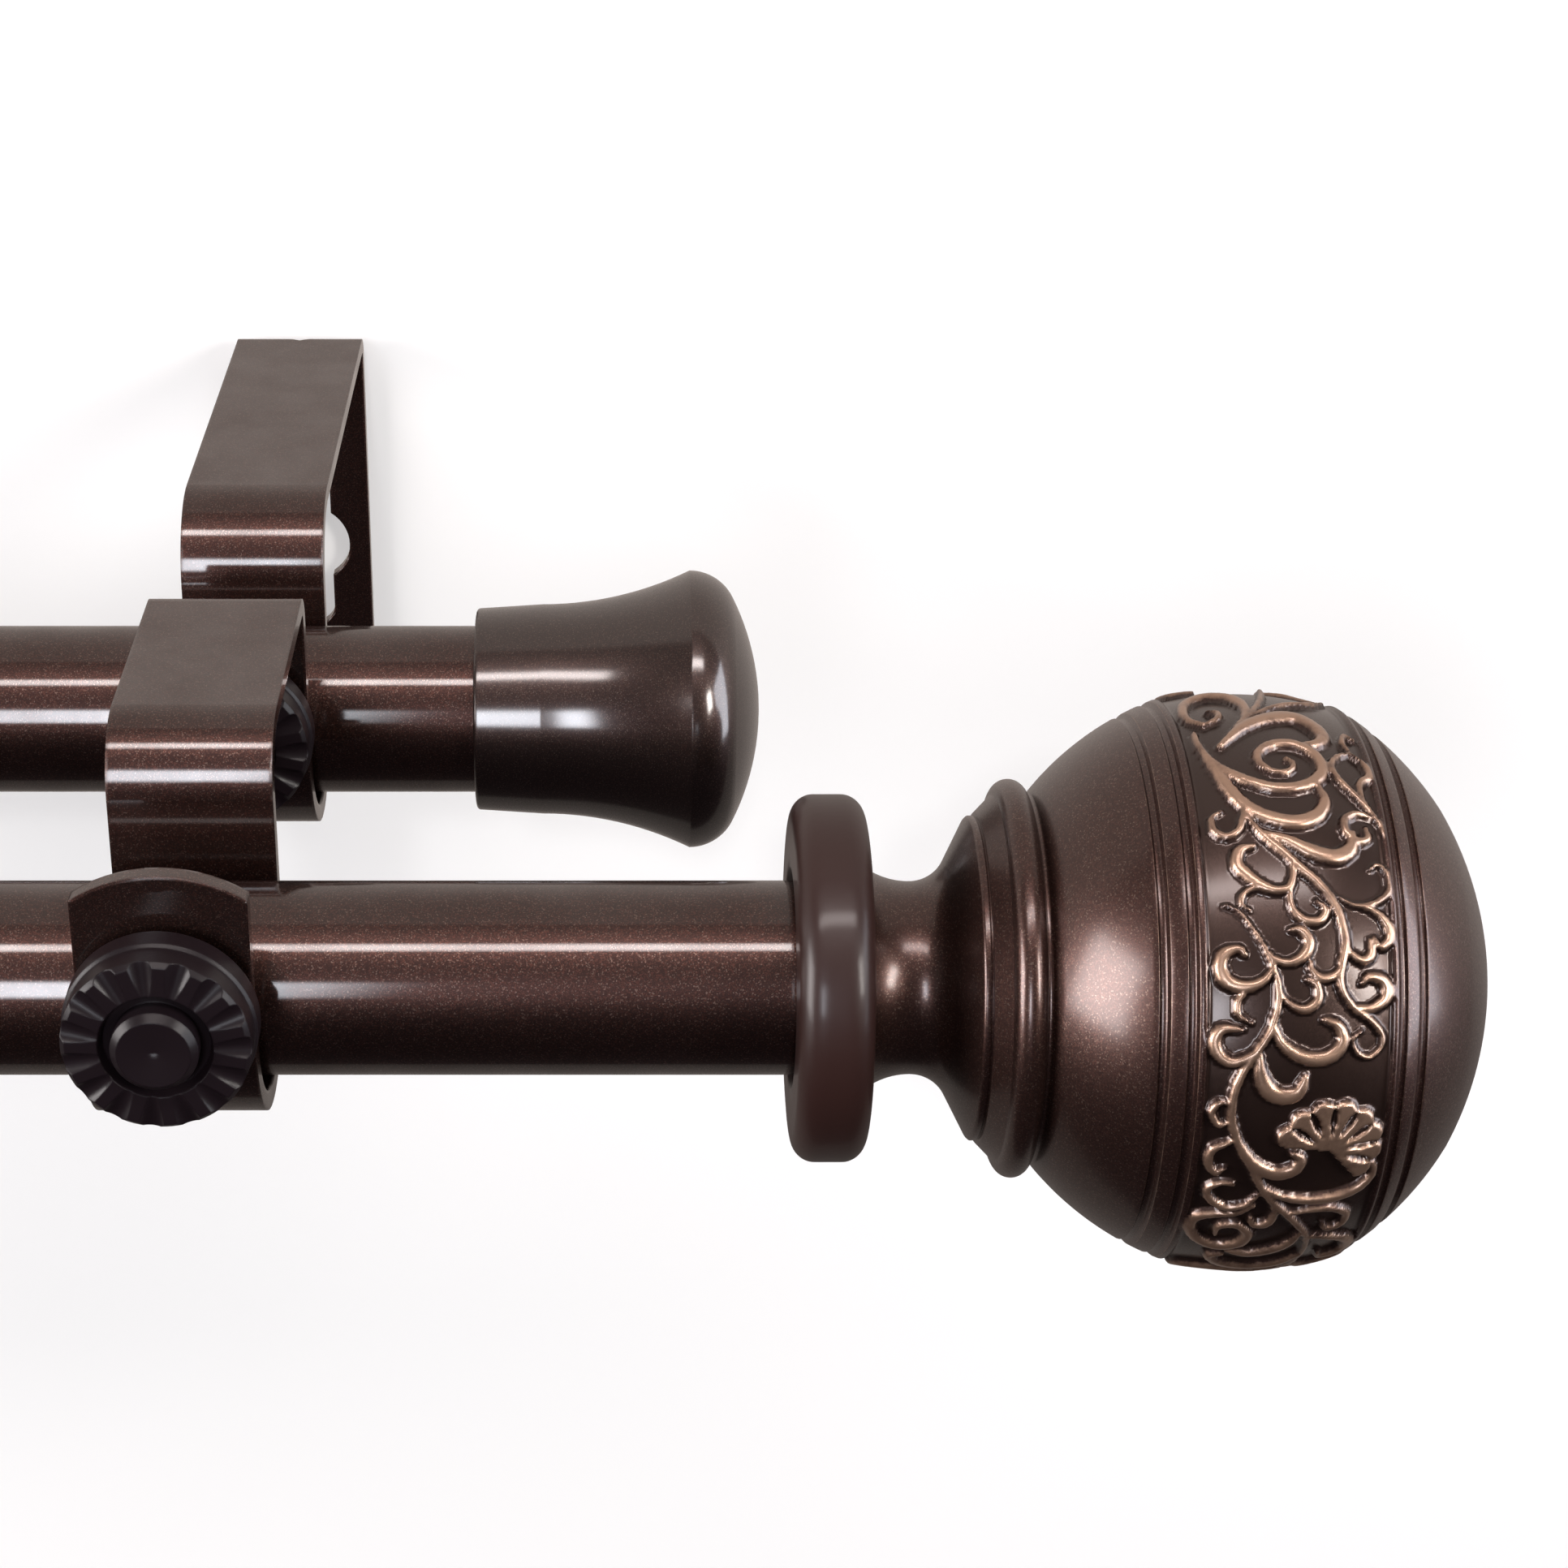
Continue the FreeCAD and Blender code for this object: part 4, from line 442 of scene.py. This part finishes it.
# Each curve of the vine: half width in mm, where along it the curve is widest, and its points,
# as (mm along the finial from vine_zero, degrees round it: 0 faces the room and 90 is the top)
vine_curves = (
    (0.55, 0.50, ((11.0, 80.5), (13.2, 85.6), (15.4, 90), (17.0, 95), (18.6, 102), (19.6, 110),
                  (20.5, 118))),
    (0.45, 0.30, ((15.4, 90), (18.5, 94.5), (21.2, 98), (24.2, 101), (26.3, 104.5), (27.8, 110))),
    (0.95, 0.55, ((13.2, 85.6), (15.2, 91), (15.5, 97), (14.2, 102), (11.6, 104.3), (9.0, 101.6),
                  (8.0, 96.4), (8.3, 91.6), (9.8, 88.8))),
    (0.55, 0.60, ((9.8, 88.8), (11.6, 90.5), (12.0, 93.0), (10.8, 94.4))),
    (1.35, 0.62, ((11.0, 80.5), (14.5, 86.4), (18.0, 90.0), (21.2, 91.2), (23.2, 88.6), (24.2, 84.8),
                  (23.2, 81.6), (21.4, 80.4))),
    (0.95, 0.45, ((8.3, 86), (8.5, 80.5), (9.6, 75.6), (11.2, 72.4), (13.6, 69.6), (16.2, 68.0),
                  (19.0, 68.2), (21.4, 70.0), (22.8, 73.4), (22.4, 77.4), (20.2, 80.2), (17.2, 80.0),
                  (15.3, 77.6), (15.2, 74.4), (16.6, 72.1), (18.4, 72.2), (19.3, 74.2), (18.6, 75.8))),
    (1.15, 0.72, ((8.4, 83), (8.8, 78.5), (9.8, 73.0), (10.8, 68.6), (11.9, 65.2), (13.6, 62.4),
                  (16.0, 60.6), (18.8, 60.2), (21.2, 62.0), (22.3, 65.4), (21.8, 68.8))),
    (0.62, 0.60, ((11.9, 65.2), (12.0, 61.6), (11.3, 58.6), (9.8, 57.4), (8.5, 58.8), (8.3, 61.6),
                  (9.6, 63.2))),
    (0.62, 0.50, ((27.2, 80.2), (25.2, 78.2), (24.1, 74.8), (24.7, 71.2), (26.2, 68.0), (27.8, 64.6),
                  (28.9, 61.4), (29.2, 58.4))),
    (0.60, 0.50, ((27.2, 80.2), (28.7, 77.4), (28.8, 74.0), (27.5, 71.6), (27.2, 68.6), (27.8, 65.4))),
    (0.50, 0.50, ((27.2, 80.2), (26.6, 83.6), (27.2, 86.8), (28.4, 86.0))),
    (0.72, 0.60, ((28.4, 62.6), (26.2, 63.2), (24.5, 61.6), (24.3, 58.8), (25.6, 56.8), (27.1, 57.8),
                  (27.0, 60.0))),
    (0.72, 0.30, ((11.9, 65.2), (12.8, 60.6), (14.2, 57.0), (16.2, 53.8), (18.0, 50.8), (19.8, 48.2),
                  (21.3, 45.4), (22.3, 42.2), (22.9, 38.8), (23.0, 35.8), (22.5, 32.4), (22.2, 29.4),
                  (22.9, 26.6), (24.3, 24.0), (26.2, 21.8), (27.5, 19.4), (27.5, 16.8), (26.2, 15.0),
                  (24.6, 15.8), (23.9, 18.4), (24.9, 20.0))),
    (1.25, 0.62, ((14.4, 57.6), (17.0, 56.0), (19.8, 53.9), (22.6, 53.0), (24.6, 54.9), (25.2, 58.4))),
    (0.50, 0.50, ((22.2, 45.2), (24.4, 43.7), (27.0, 44.3), (28.8, 46.7), (29.0, 50.2), (28.0, 52.3),
                  (26.9, 51.2))),
    (0.75, 0.65, ((24.4, 43.7), (26.6, 42.9), (28.2, 40.9), (28.7, 38.0), (27.6, 35.8), (26.6, 37.6))),
    (0.75, 0.60, ((23.1, 36.0), (23.9, 34.2), (25.3, 33.2), (26.3, 34.6), (26.1, 37.2))),
    (0.90, 0.75, ((17.0, 52.4), (17.2, 49.4), (16.6, 46.8), (14.9, 46.2), (13.2, 47.3), (11.8, 49.2),
                  (10.7, 51.6), (11.2, 54.4), (12.9, 55.0))),
    (0.50, 0.60, ((14.9, 46.2), (12.8, 46.8), (11.3, 45.8), (10.8, 43.8), (11.8, 42.4))),
    (0.68, 0.70, ((17.0, 48.4), (16.6, 45.0), (17.0, 42.2), (18.3, 40.5), (20.1, 40.6), (20.8, 42.6),
                  (19.7, 44.2))),
    (0.68, 0.60, ((22.5, 32.4), (21.4, 30.3), (19.9, 30.0), (18.8, 31.4), (18.7, 33.0))),
    (0.95, 0.55, ((24.0, 24.6), (26.0, 24.3), (27.7, 25.6), (28.2, 27.8), (27.4, 29.8), (25.8, 30.2),
                  (25.0, 29.0))),
    (0.68, 0.40, ((8.8, 43.8), (10.5, 42.2), (11.9, 39.2), (13.1, 36.2), (14.0, 33.0), (14.6, 30.0),
                  (14.9, 26.8), (14.5, 23.2), (13.8, 19.8), (12.6, 16.8), (11.3, 13.6), (10.3, 10.0),
                  (9.9, 5.6), (10.2, 1.4), (11.2, -2.6), (12.8, -7.0), (14.4, -12.2), (16.2, -16.4),
                  (18.3, -20.2), (20.2, -24.4), (21.6, -28.4), (22.2, -34), (22.0, -42), (21.2, -52),
                  (20.5, -62))),
    (0.85, 0.70, ((13.5, 35.0), (14.6, 33.3), (16.4, 32.8), (18.0, 34.2), (18.6, 36.6), (17.6, 38.8),
                  (16.4, 38.7))),
    (1.05, 0.55, ((14.2, 31.8), (13.0, 29.4), (11.0, 28.4), (9.0, 29.2), (8.1, 31.8), (8.6, 34.4),
                  (10.2, 35.4), (11.0, 34.2))),
    (0.55, 0.50, ((12.4, 29.0), (10.8, 27.3), (10.0, 25.0), (10.4, 22.8), (11.8, 21.6))),
    (0.72, 0.60, ((15.0, 27.6), (16.1, 25.3), (18.0, 24.3), (19.5, 25.8), (19.5, 28.4), (18.2, 29.8))),
    (1.10, 0.55, ((14.3, 21.6), (15.0, 18.6), (16.8, 16.2), (19.2, 15.0), (21.5, 15.8), (22.7, 18.4),
                  (22.0, 21.2), (20.4, 22.3))),
    (0.92, 0.55, ((12.8, 17.4), (11.3, 15.2), (9.4, 14.2), (7.9, 15.8), (7.5, 18.4), (8.4, 20.5),
                  (10.6, 20.4))),
    (1.30, 0.55, ((12.8, 15.8), (12.9, 12.4), (13.8, 9.3), (15.6, 7.8), (17.5, 8.6), (18.3, 11.6))),
    (1.15, 0.65, ((10.4, 0.6), (11.5, -3.4), (13.4, -7.2), (16.0, -8.9), (18.2, -7.8), (18.7, -5.2),
                  (17.6, -4.2))),
    (0.60, 0.60, ((9.9, 5.6), (8.5, 6.0), (7.6, 3.8), (8.4, 1.3), (9.5, 1.8))),
    (0.70, 0.60, ((10.8, -1.2), (9.6, -2.6), (8.1, -4.4), (7.8, -7.6), (8.8, -9.8), (9.8, -8.4))),
    (0.95, 0.60, ((14.4, -12.2), (17.0, -14.8), (20.2, -16.0), (23.6, -16.2), (26.6, -14.8),
                  (28.2, -11.6), (28.0, -8.2))),
    (0.70, 0.50, ((14.3, -14.6), (13.0, -17.6), (10.8, -18.8), (8.9, -17.4), (8.2, -14.6), (9.4, -12.4),
                  (11.3, -12.2))),
    (1.00, 0.50, ((14.0, -17.6), (12.2, -20.2), (9.6, -21.4), (7.6, -23.4), (7.2, -27.2), (8.4, -31.4),
                  (11.0, -33.4), (13.6, -31.2), (14.2, -27.2), (12.6, -24.2), (10.6, -25.4),
                  (10.4, -28.6))),
    (0.75, 0.60, ((16.0, -16.8), (16.8, -19.6), (16.2, -23.0), (14.6, -23.6), (14.0, -21.6))),
    (0.95, 0.60, ((21.0, -26.6), (19.9, -31.0), (17.8, -34.2), (15.0, -36.0), (12.4, -35.2))),
    (0.70, 0.60, ((18.3, -20.2), (21.2, -19.4), (24.0, -19.8), (26.0, -22.4), (25.8, -26.0), (24.0, -27.0),
                  (23.2, -24.6))),
    (0.95, 0.60, ((21.6, -29), (24.4, -30.6), (27.0, -33.4), (28.2, -38), (27.4, -42.4), (25.2, -43.0),
                  (24.6, -40.0))),
    (1.10, 0.60, ((22.1, -38), (19.6, -43.4), (16.0, -45.4), (12.6, -43.8), (10.8, -39.6), (12.2, -37.4))),
    (0.85, 0.60, ((21.8, -46), (23.6, -50.8), (26.6, -52.0), (28.6, -49.4), (28.3, -46.4))),
    (1.00, 0.60, ((21.2, -52), (18.4, -52.8), (16.4, -50.6), (13.0, -49.6), (10.0, -51.4), (8.0, -56.0),
                  (9.4, -60.8), (12.0, -60.2))),
    (0.90, 0.60, ((20.8, -57), (23.6, -58.6), (26.8, -58.0), (28.8, -61.0))),
)
vine_zero = 120.0
repeats = 2

# The finial's sizes in mm. Its axis, the collar's outer face and vine_zero are measured from the
# right bracket's middle on the wall, and places along the finial from the collar's outer face.
mm_per_m = 1000.0
finial_axis_y = -177.8
finial_axis_z = 9.7
collar_face = 88.5
bracket_span = 620.0
band_near, band_near_radius = 38.0, 36.36
band_far, band_far_radius = 60.7, 35.54
band_depth = 0.7
relief_rise = 0.35
groove_width = 1.3
groove_clear = 0.6
groove_places = (33.5, 36.7, 61.9, 64.9)

# The corners of a groove: how far from its middle and how far below the ball, as shares of its
# width, and how far the lacquer is rubbed off there. Other rings keep clear of them.
groove_corners = ((0.56, 0.0, 0.0), (0.5, 0.02, 0.62), (0.47, 0.07, 0.3), (0.28, 0.45, 0.0),
                  (0.22, 0.5, 0.0))


def round_zone(first, second):
    """A round stretch of the ball between two of its points: its centre on the axis, its radius."""
    (start, low), (end, high) = first, second
    centre = (end ** 2 + high ** 2 - start ** 2 - low ** 2) / (2 * (end - start))
    return centre, math.hypot(start - centre, low)


ball_start = (21.6, 24.2)
shoulder = (73.0, 24.0)
ball_tip = (80.0, 0.0)
near_zone = round_zone(ball_start, (band_near, band_near_radius))
ground_zone = round_zone((band_near, band_near_radius - band_depth),
                         (band_far, band_far_radius - band_depth))
far_zone = round_zone((band_far, band_far_radius), shoulder)
nose_zone = round_zone(shoulder, ball_tip)


def ball_radius_at(place, zone):
    """Radius of a round stretch at a place."""
    centre, radius = zone
    return math.sqrt(max(0.0, radius ** 2 - (place - centre) ** 2))


def arc(centre_x, centre_r, radius, start, end, count):
    """Points on an arc of the turned outline, between two angles in degrees."""
    angles = np.radians(np.linspace(start, end, count))
    return [(centre_x + radius * math.cos(a), centre_r + radius * math.sin(a)) for a in angles]


def ball_rows(start, end, zone, count):
    """Plain rings of a round stretch, with the corners of the grooves that cross it."""
    places = list(np.linspace(start, end, count))
    for groove in groove_places:
        if start < groove < end:
            places = [place for place in places if abs(place - groove) > groove_width * groove_clear]
    rings = [(place, ball_radius_at(place, zone), 0.0) for place in places]
    for groove in groove_places:
        if not start < groove < end:
            continue
        for off, sunk_by, rub in groove_corners:
            for side in (-1, 1):
                place = groove + side * off * groove_width
                rings.append((place, ball_radius_at(place, zone) - sunk_by * groove_width, rub))
    return sorted(rings)


# Turned outline of the bore, the foot, the flared neck, its step and the bead: place and radius
foot_radius, waist_place, waist_radius = 14.6, 6.0, 12.6
foot_round = (waist_place ** 2 + (foot_radius - waist_radius) ** 2) / (2 * (foot_radius - waist_radius))
foot_start = math.degrees(math.atan2(foot_radius - waist_radius - foot_round, -waist_place))
bore_radius, bore_depth = 4.1, 18.1
foot_corner = 0.01
flare_round, flare_end = 5.2, -27.8
bead_place, bead_ring_radius, bead_round = 18.9, 23.9, 2.1
bead_start, bead_end = 178.0, 2.0
neck_outline = [(bore_depth, bore_radius), (0.0, bore_radius), (0.0, foot_radius - foot_corner)]
neck_outline += arc(waist_place, waist_radius + foot_round, foot_round, foot_start, -90.0, count=12)
neck_outline += arc(waist_place, waist_radius + flare_round, flare_round, -90.0, flare_end, count=16)[1:]
neck_outline += [(12.0, 18.14), (13.36, 20.85), (13.42, 20.94), (13.66, 21.17), (13.76, 21.2),
                 (14.24, 21.2), (14.34, 21.17), (14.57, 20.95), (14.6, 21.0), (14.62, 21.58),
                 (14.66, 21.67), (16.74, 23.83)]
neck_outline += arc(bead_place, bead_ring_radius, bead_round, bead_start, bead_end, count=22)
neck_outline += [(21.1, 23.9), (21.55, 24.12)]

# The ball's rows: place, radius, and how far the lacquer is rubbed off there
near_rings, band_rings, far_rings, tip_rings = 26, 78, 20, 22
band_columns, plain_columns = 840, 210
near_rows = ball_rows(ball_start[0], band_near, near_zone, near_rings)
far_rows = ball_rows(band_far, shoulder[0], far_zone, far_rings)
tip_places = shoulder[0] + (ball_tip[0] - shoulder[0]) * np.sin(np.linspace(0.0, math.pi / 2, tip_rings))
tip_rows = [(place, ball_radius_at(place, nose_zone), 0.0) for place in tip_places[1:-1]]


def smooth_run(points, step=0.12):
    """Points every step mm on a smooth curve through the given ones, in flat mm."""
    flat = np.array([(x, degrees * mm_per_degree) for x, degrees in points])
    reach = np.vstack([2 * flat[0] - flat[1], flat, 2 * flat[-1] - flat[-2]])
    run = []
    for index in range(len(flat) - 1):
        before, start, end, after = reach[index:index + 4]
        count = max(2, int(np.linalg.norm(end - start) / step))
        t = np.linspace(0.0, 1.0, count, endpoint=False)[:, None]
        run.append(0.5 * (2 * start + (end - before) * t
                          + (2 * before - 5 * start + 4 * end - after) * t ** 2
                          + (3 * start - before - 3 * end + after) * t ** 3))
    run.append(flat[-1:])
    return np.vstack(run)


# The relief is first stamped flat: its height over the band's ground, 0 to 1, on a grid with this
# many dots to the mm
dots = 9.0
relief_radius = ground_zone[1] + band_depth + relief_rise
mm_per_degree = math.radians(1.0) * relief_radius
turn_length = 2 * math.pi * relief_radius
flat_columns = int(turn_length * dots)
flat_first = collar_face + band_near - vine_zero
flat_rows = int((band_far - band_near) * dots)
flat_along = flat_first + (np.arange(flat_rows) + 0.5) / dots
relief_height = np.zeros((flat_rows, flat_columns))

# A stamp is round on top with steep sides, and a slim one stands less high
swell_power = 2.6
slim_height, height_per_mm = 0.62, 0.45


def stamp(x, around, radius):
    """Raise a round swelling of the flat relief."""
    low = max(0, int((x - radius - flat_first) * dots))
    high = min(flat_rows, int((x + radius - flat_first) * dots) + 2)
    if low >= high:
        return
    picked = np.arange(math.floor((around - radius) * dots), math.ceil((around + radius) * dots) + 1)
    across = (picked + 0.5) / dots - around
    away = np.hypot(flat_along[low:high, None] - x, across[None, :]) / radius
    swell = np.sqrt(np.clip(1.0 - away ** swell_power, 0.0, 1.0))
    swell *= min(1.0, slim_height + height_per_mm * radius)
    where = np.ix_(range(low, high), picked % flat_columns)
    relief_height[where] = np.maximum(relief_height[where], swell)


# A curve of the vine swells from its root to its widest place and thins towards its tip: the
# share of its half width that is always there, and the share that comes and goes
root_share, root_swell = 0.38, 0.62
tip_share, tip_swell = 0.42, 0.58

# The fan shell has scallops round its edge and drop-shaped rays cut into it. A ray's ends are
# where its width starts to grow or to fall, with the length over which it does.
shell_place, shell_degrees = 22.0, -3.6
shell_reach, shell_notch = 7.1, 6.4
shell_first, shell_step, shell_scallops = -52.0, 28.0, 8
shell_room, shell_edge, shell_height = 9.0, 0.35, 0.95
ray_half_width, ray_edge, ray_depth = 0.45, 0.18, 0.85
ray_start, ray_growth, ray_end, ray_fall = 1.8, 2.0, 6.1, 0.7
for repeat in range(repeats):
    shift = turn_length * repeat / repeats
    for half_width, widest, points in vine_curves:
        run = smooth_run(points)
        share = np.linspace(0.0, 1.0, len(run))
        rising = root_share + root_swell * np.clip(np.sin(np.pi / 2 * share / widest), 0.0, 1.0)
        falling = tip_share + tip_swell * np.cos(np.pi / 2 * (share - widest) / (1.0 - widest))
        radii = half_width * np.where(share < widest, rising, falling)
        for (x, around), radius in zip(run, radii):
            stamp(x, around + shift, radius)
    shell_around = shell_degrees * mm_per_degree + shift
    picked = np.arange(int((shell_around - shell_room) * dots), int((shell_around + shell_room) * dots))
    dx = (flat_along - shell_place)[:, None]
    dy = ((picked + 0.5) / dots - shell_around)[None, :]
    away = np.hypot(dx, dy)
    angle = np.degrees(np.arctan2(dy, dx))
    fan = (angle - shell_first) % 360.0
    scallop = np.abs(np.sin(np.radians(fan * 180.0 / shell_step)))
    rim = shell_notch + (shell_reach - shell_notch) * scallop
    inside = np.clip((rim - away) / shell_edge, 0.0, 1.0) * (fan < shell_step * shell_scallops)
    off_ray = np.abs((fan / shell_step + 0.5) % 1.0 - 0.5) * math.radians(shell_step) * away
    growing = np.clip((away - ray_start) / ray_growth, 0.0, 1.0)
    closing = np.clip((ray_end - away) / ray_fall, 0.0, 1.0)
    inner_ray = (fan > shell_step / 2) * (fan < shell_step * (shell_scallops - 0.5))
    cut = np.clip((ray_half_width * growing * closing - off_ray) / ray_edge, 0.0, 1.0) * inner_ray
    shell = inside * (shell_height - ray_depth * cut)
    where = np.ix_(range(flat_rows), picked % flat_columns)
    relief_height[where] = np.maximum(relief_height[where], shell)


def ring_points(place, radius, count, rub):
    """A plain ring of the finial: its place, turns and radii, and the masks for the finish."""
    turns = 2 * np.pi * np.arange(count) / count
    masks = np.zeros((count, 4))
    masks[:, 0] = rub
    masks[:, 1] = 1.0 if rub else 0.0
    masks[:, 3] = 1.0
    return np.full(count, place), turns, np.full(count, radius), masks


band_wall = 0.45


def carved_ring(place):
    """A ring of the carved band: its ground, its edge walls and the vine on it."""
    turns = 2 * np.pi * np.arange(band_columns) / band_columns
    row = min(flat_rows - 1, int((place - band_near) * dots))
    high = relief_height[row, (turns * relief_radius * dots).astype(int) % flat_columns]
    edge = max(0.0, 1.0 - min(place - band_near, band_far - place) / band_wall)
    raised = np.maximum((band_depth + relief_rise) * high, band_depth * edge)
    level = ball_radius_at(place, ground_zone) + raised
    masks = np.ones((band_columns, 4))
    masks[:, 0] = high
    masks[:, 2] = 1.0 - np.maximum(high, edge)
    return np.full(band_columns, place), turns, level, masks


rings = [ring_points(bore_depth, 0.0, 1, 0.0)]
rings += [ring_points(place, radius, plain_columns, 0.0) for place, radius in neck_outline]
rings += [ring_points(place, radius, plain_columns, rub) for place, radius, rub in near_rows[:-1]]
rings += [carved_ring(place) for place in np.linspace(band_near, band_far, band_rings)]
rings += [ring_points(place, radius, plain_columns, rub) for place, radius, rub in far_rows[1:] + tip_rows]
rings.append(ring_points(ball_tip[0], 0.0, 1, 0.0))
ring_starts = np.cumsum([0] + [len(ring[0]) for ring in rings])
ring_places, ring_turns, ring_levels, ring_masks = (np.concatenate(parts) for parts in zip(*rings))

# Neighbouring rings are joined by four-sided faces, or by fans where their counts differ
finial_faces = []
for index in range(len(rings) - 1):
    first, second = int(ring_starts[index]), int(ring_starts[index + 1])
    count, next_count = len(rings[index][0]), len(rings[index + 1][0])
    sides = min(count, next_count) if min(count, next_count) > 1 else max(count, next_count)
    for side in range(sides):
        here = [first + (side * count // sides + k) % count for k in range(max(1, count // sides) + 1)]
        there = [second + (side * next_count // sides + k) % next_count
                 for k in range(max(1, next_count // sides) + 1)]
        corners = here[:1] + there + here[:0:-1]
        finial_faces.append(tuple(dict.fromkeys(corners)))
for side, way, inner_face in (("right", 1, collar_face), ("left", -1, -bracket_span - collar_face)):
    vertices = np.column_stack([
        inner_face + way * ring_places,
        finial_axis_y - way * ring_levels * np.cos(ring_turns),
        finial_axis_z + ring_levels * np.sin(ring_turns)]) / mm_per_m
    finial_mesh = bpy.data.meshes.new(f"{side}_carved_finial")
    finial_mesh.from_pydata(vertices.tolist(), [], finial_faces)
    relief_layer = finial_mesh.color_attributes.new("relief", "FLOAT_COLOR", "POINT")
    relief_layer.data.foreach_set("color", ring_masks.ravel())
    finial_mesh.materials.append(cast_bronze)
    finial_mesh.shade_smooth()
    carved_finial = bpy.data.objects.new(f"{side}_carved_finial", finial_mesh)
    scene.collection.objects.link(carved_finial)
    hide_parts(f"{side}_finial")
    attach(carved_finial, f"{side}_half")
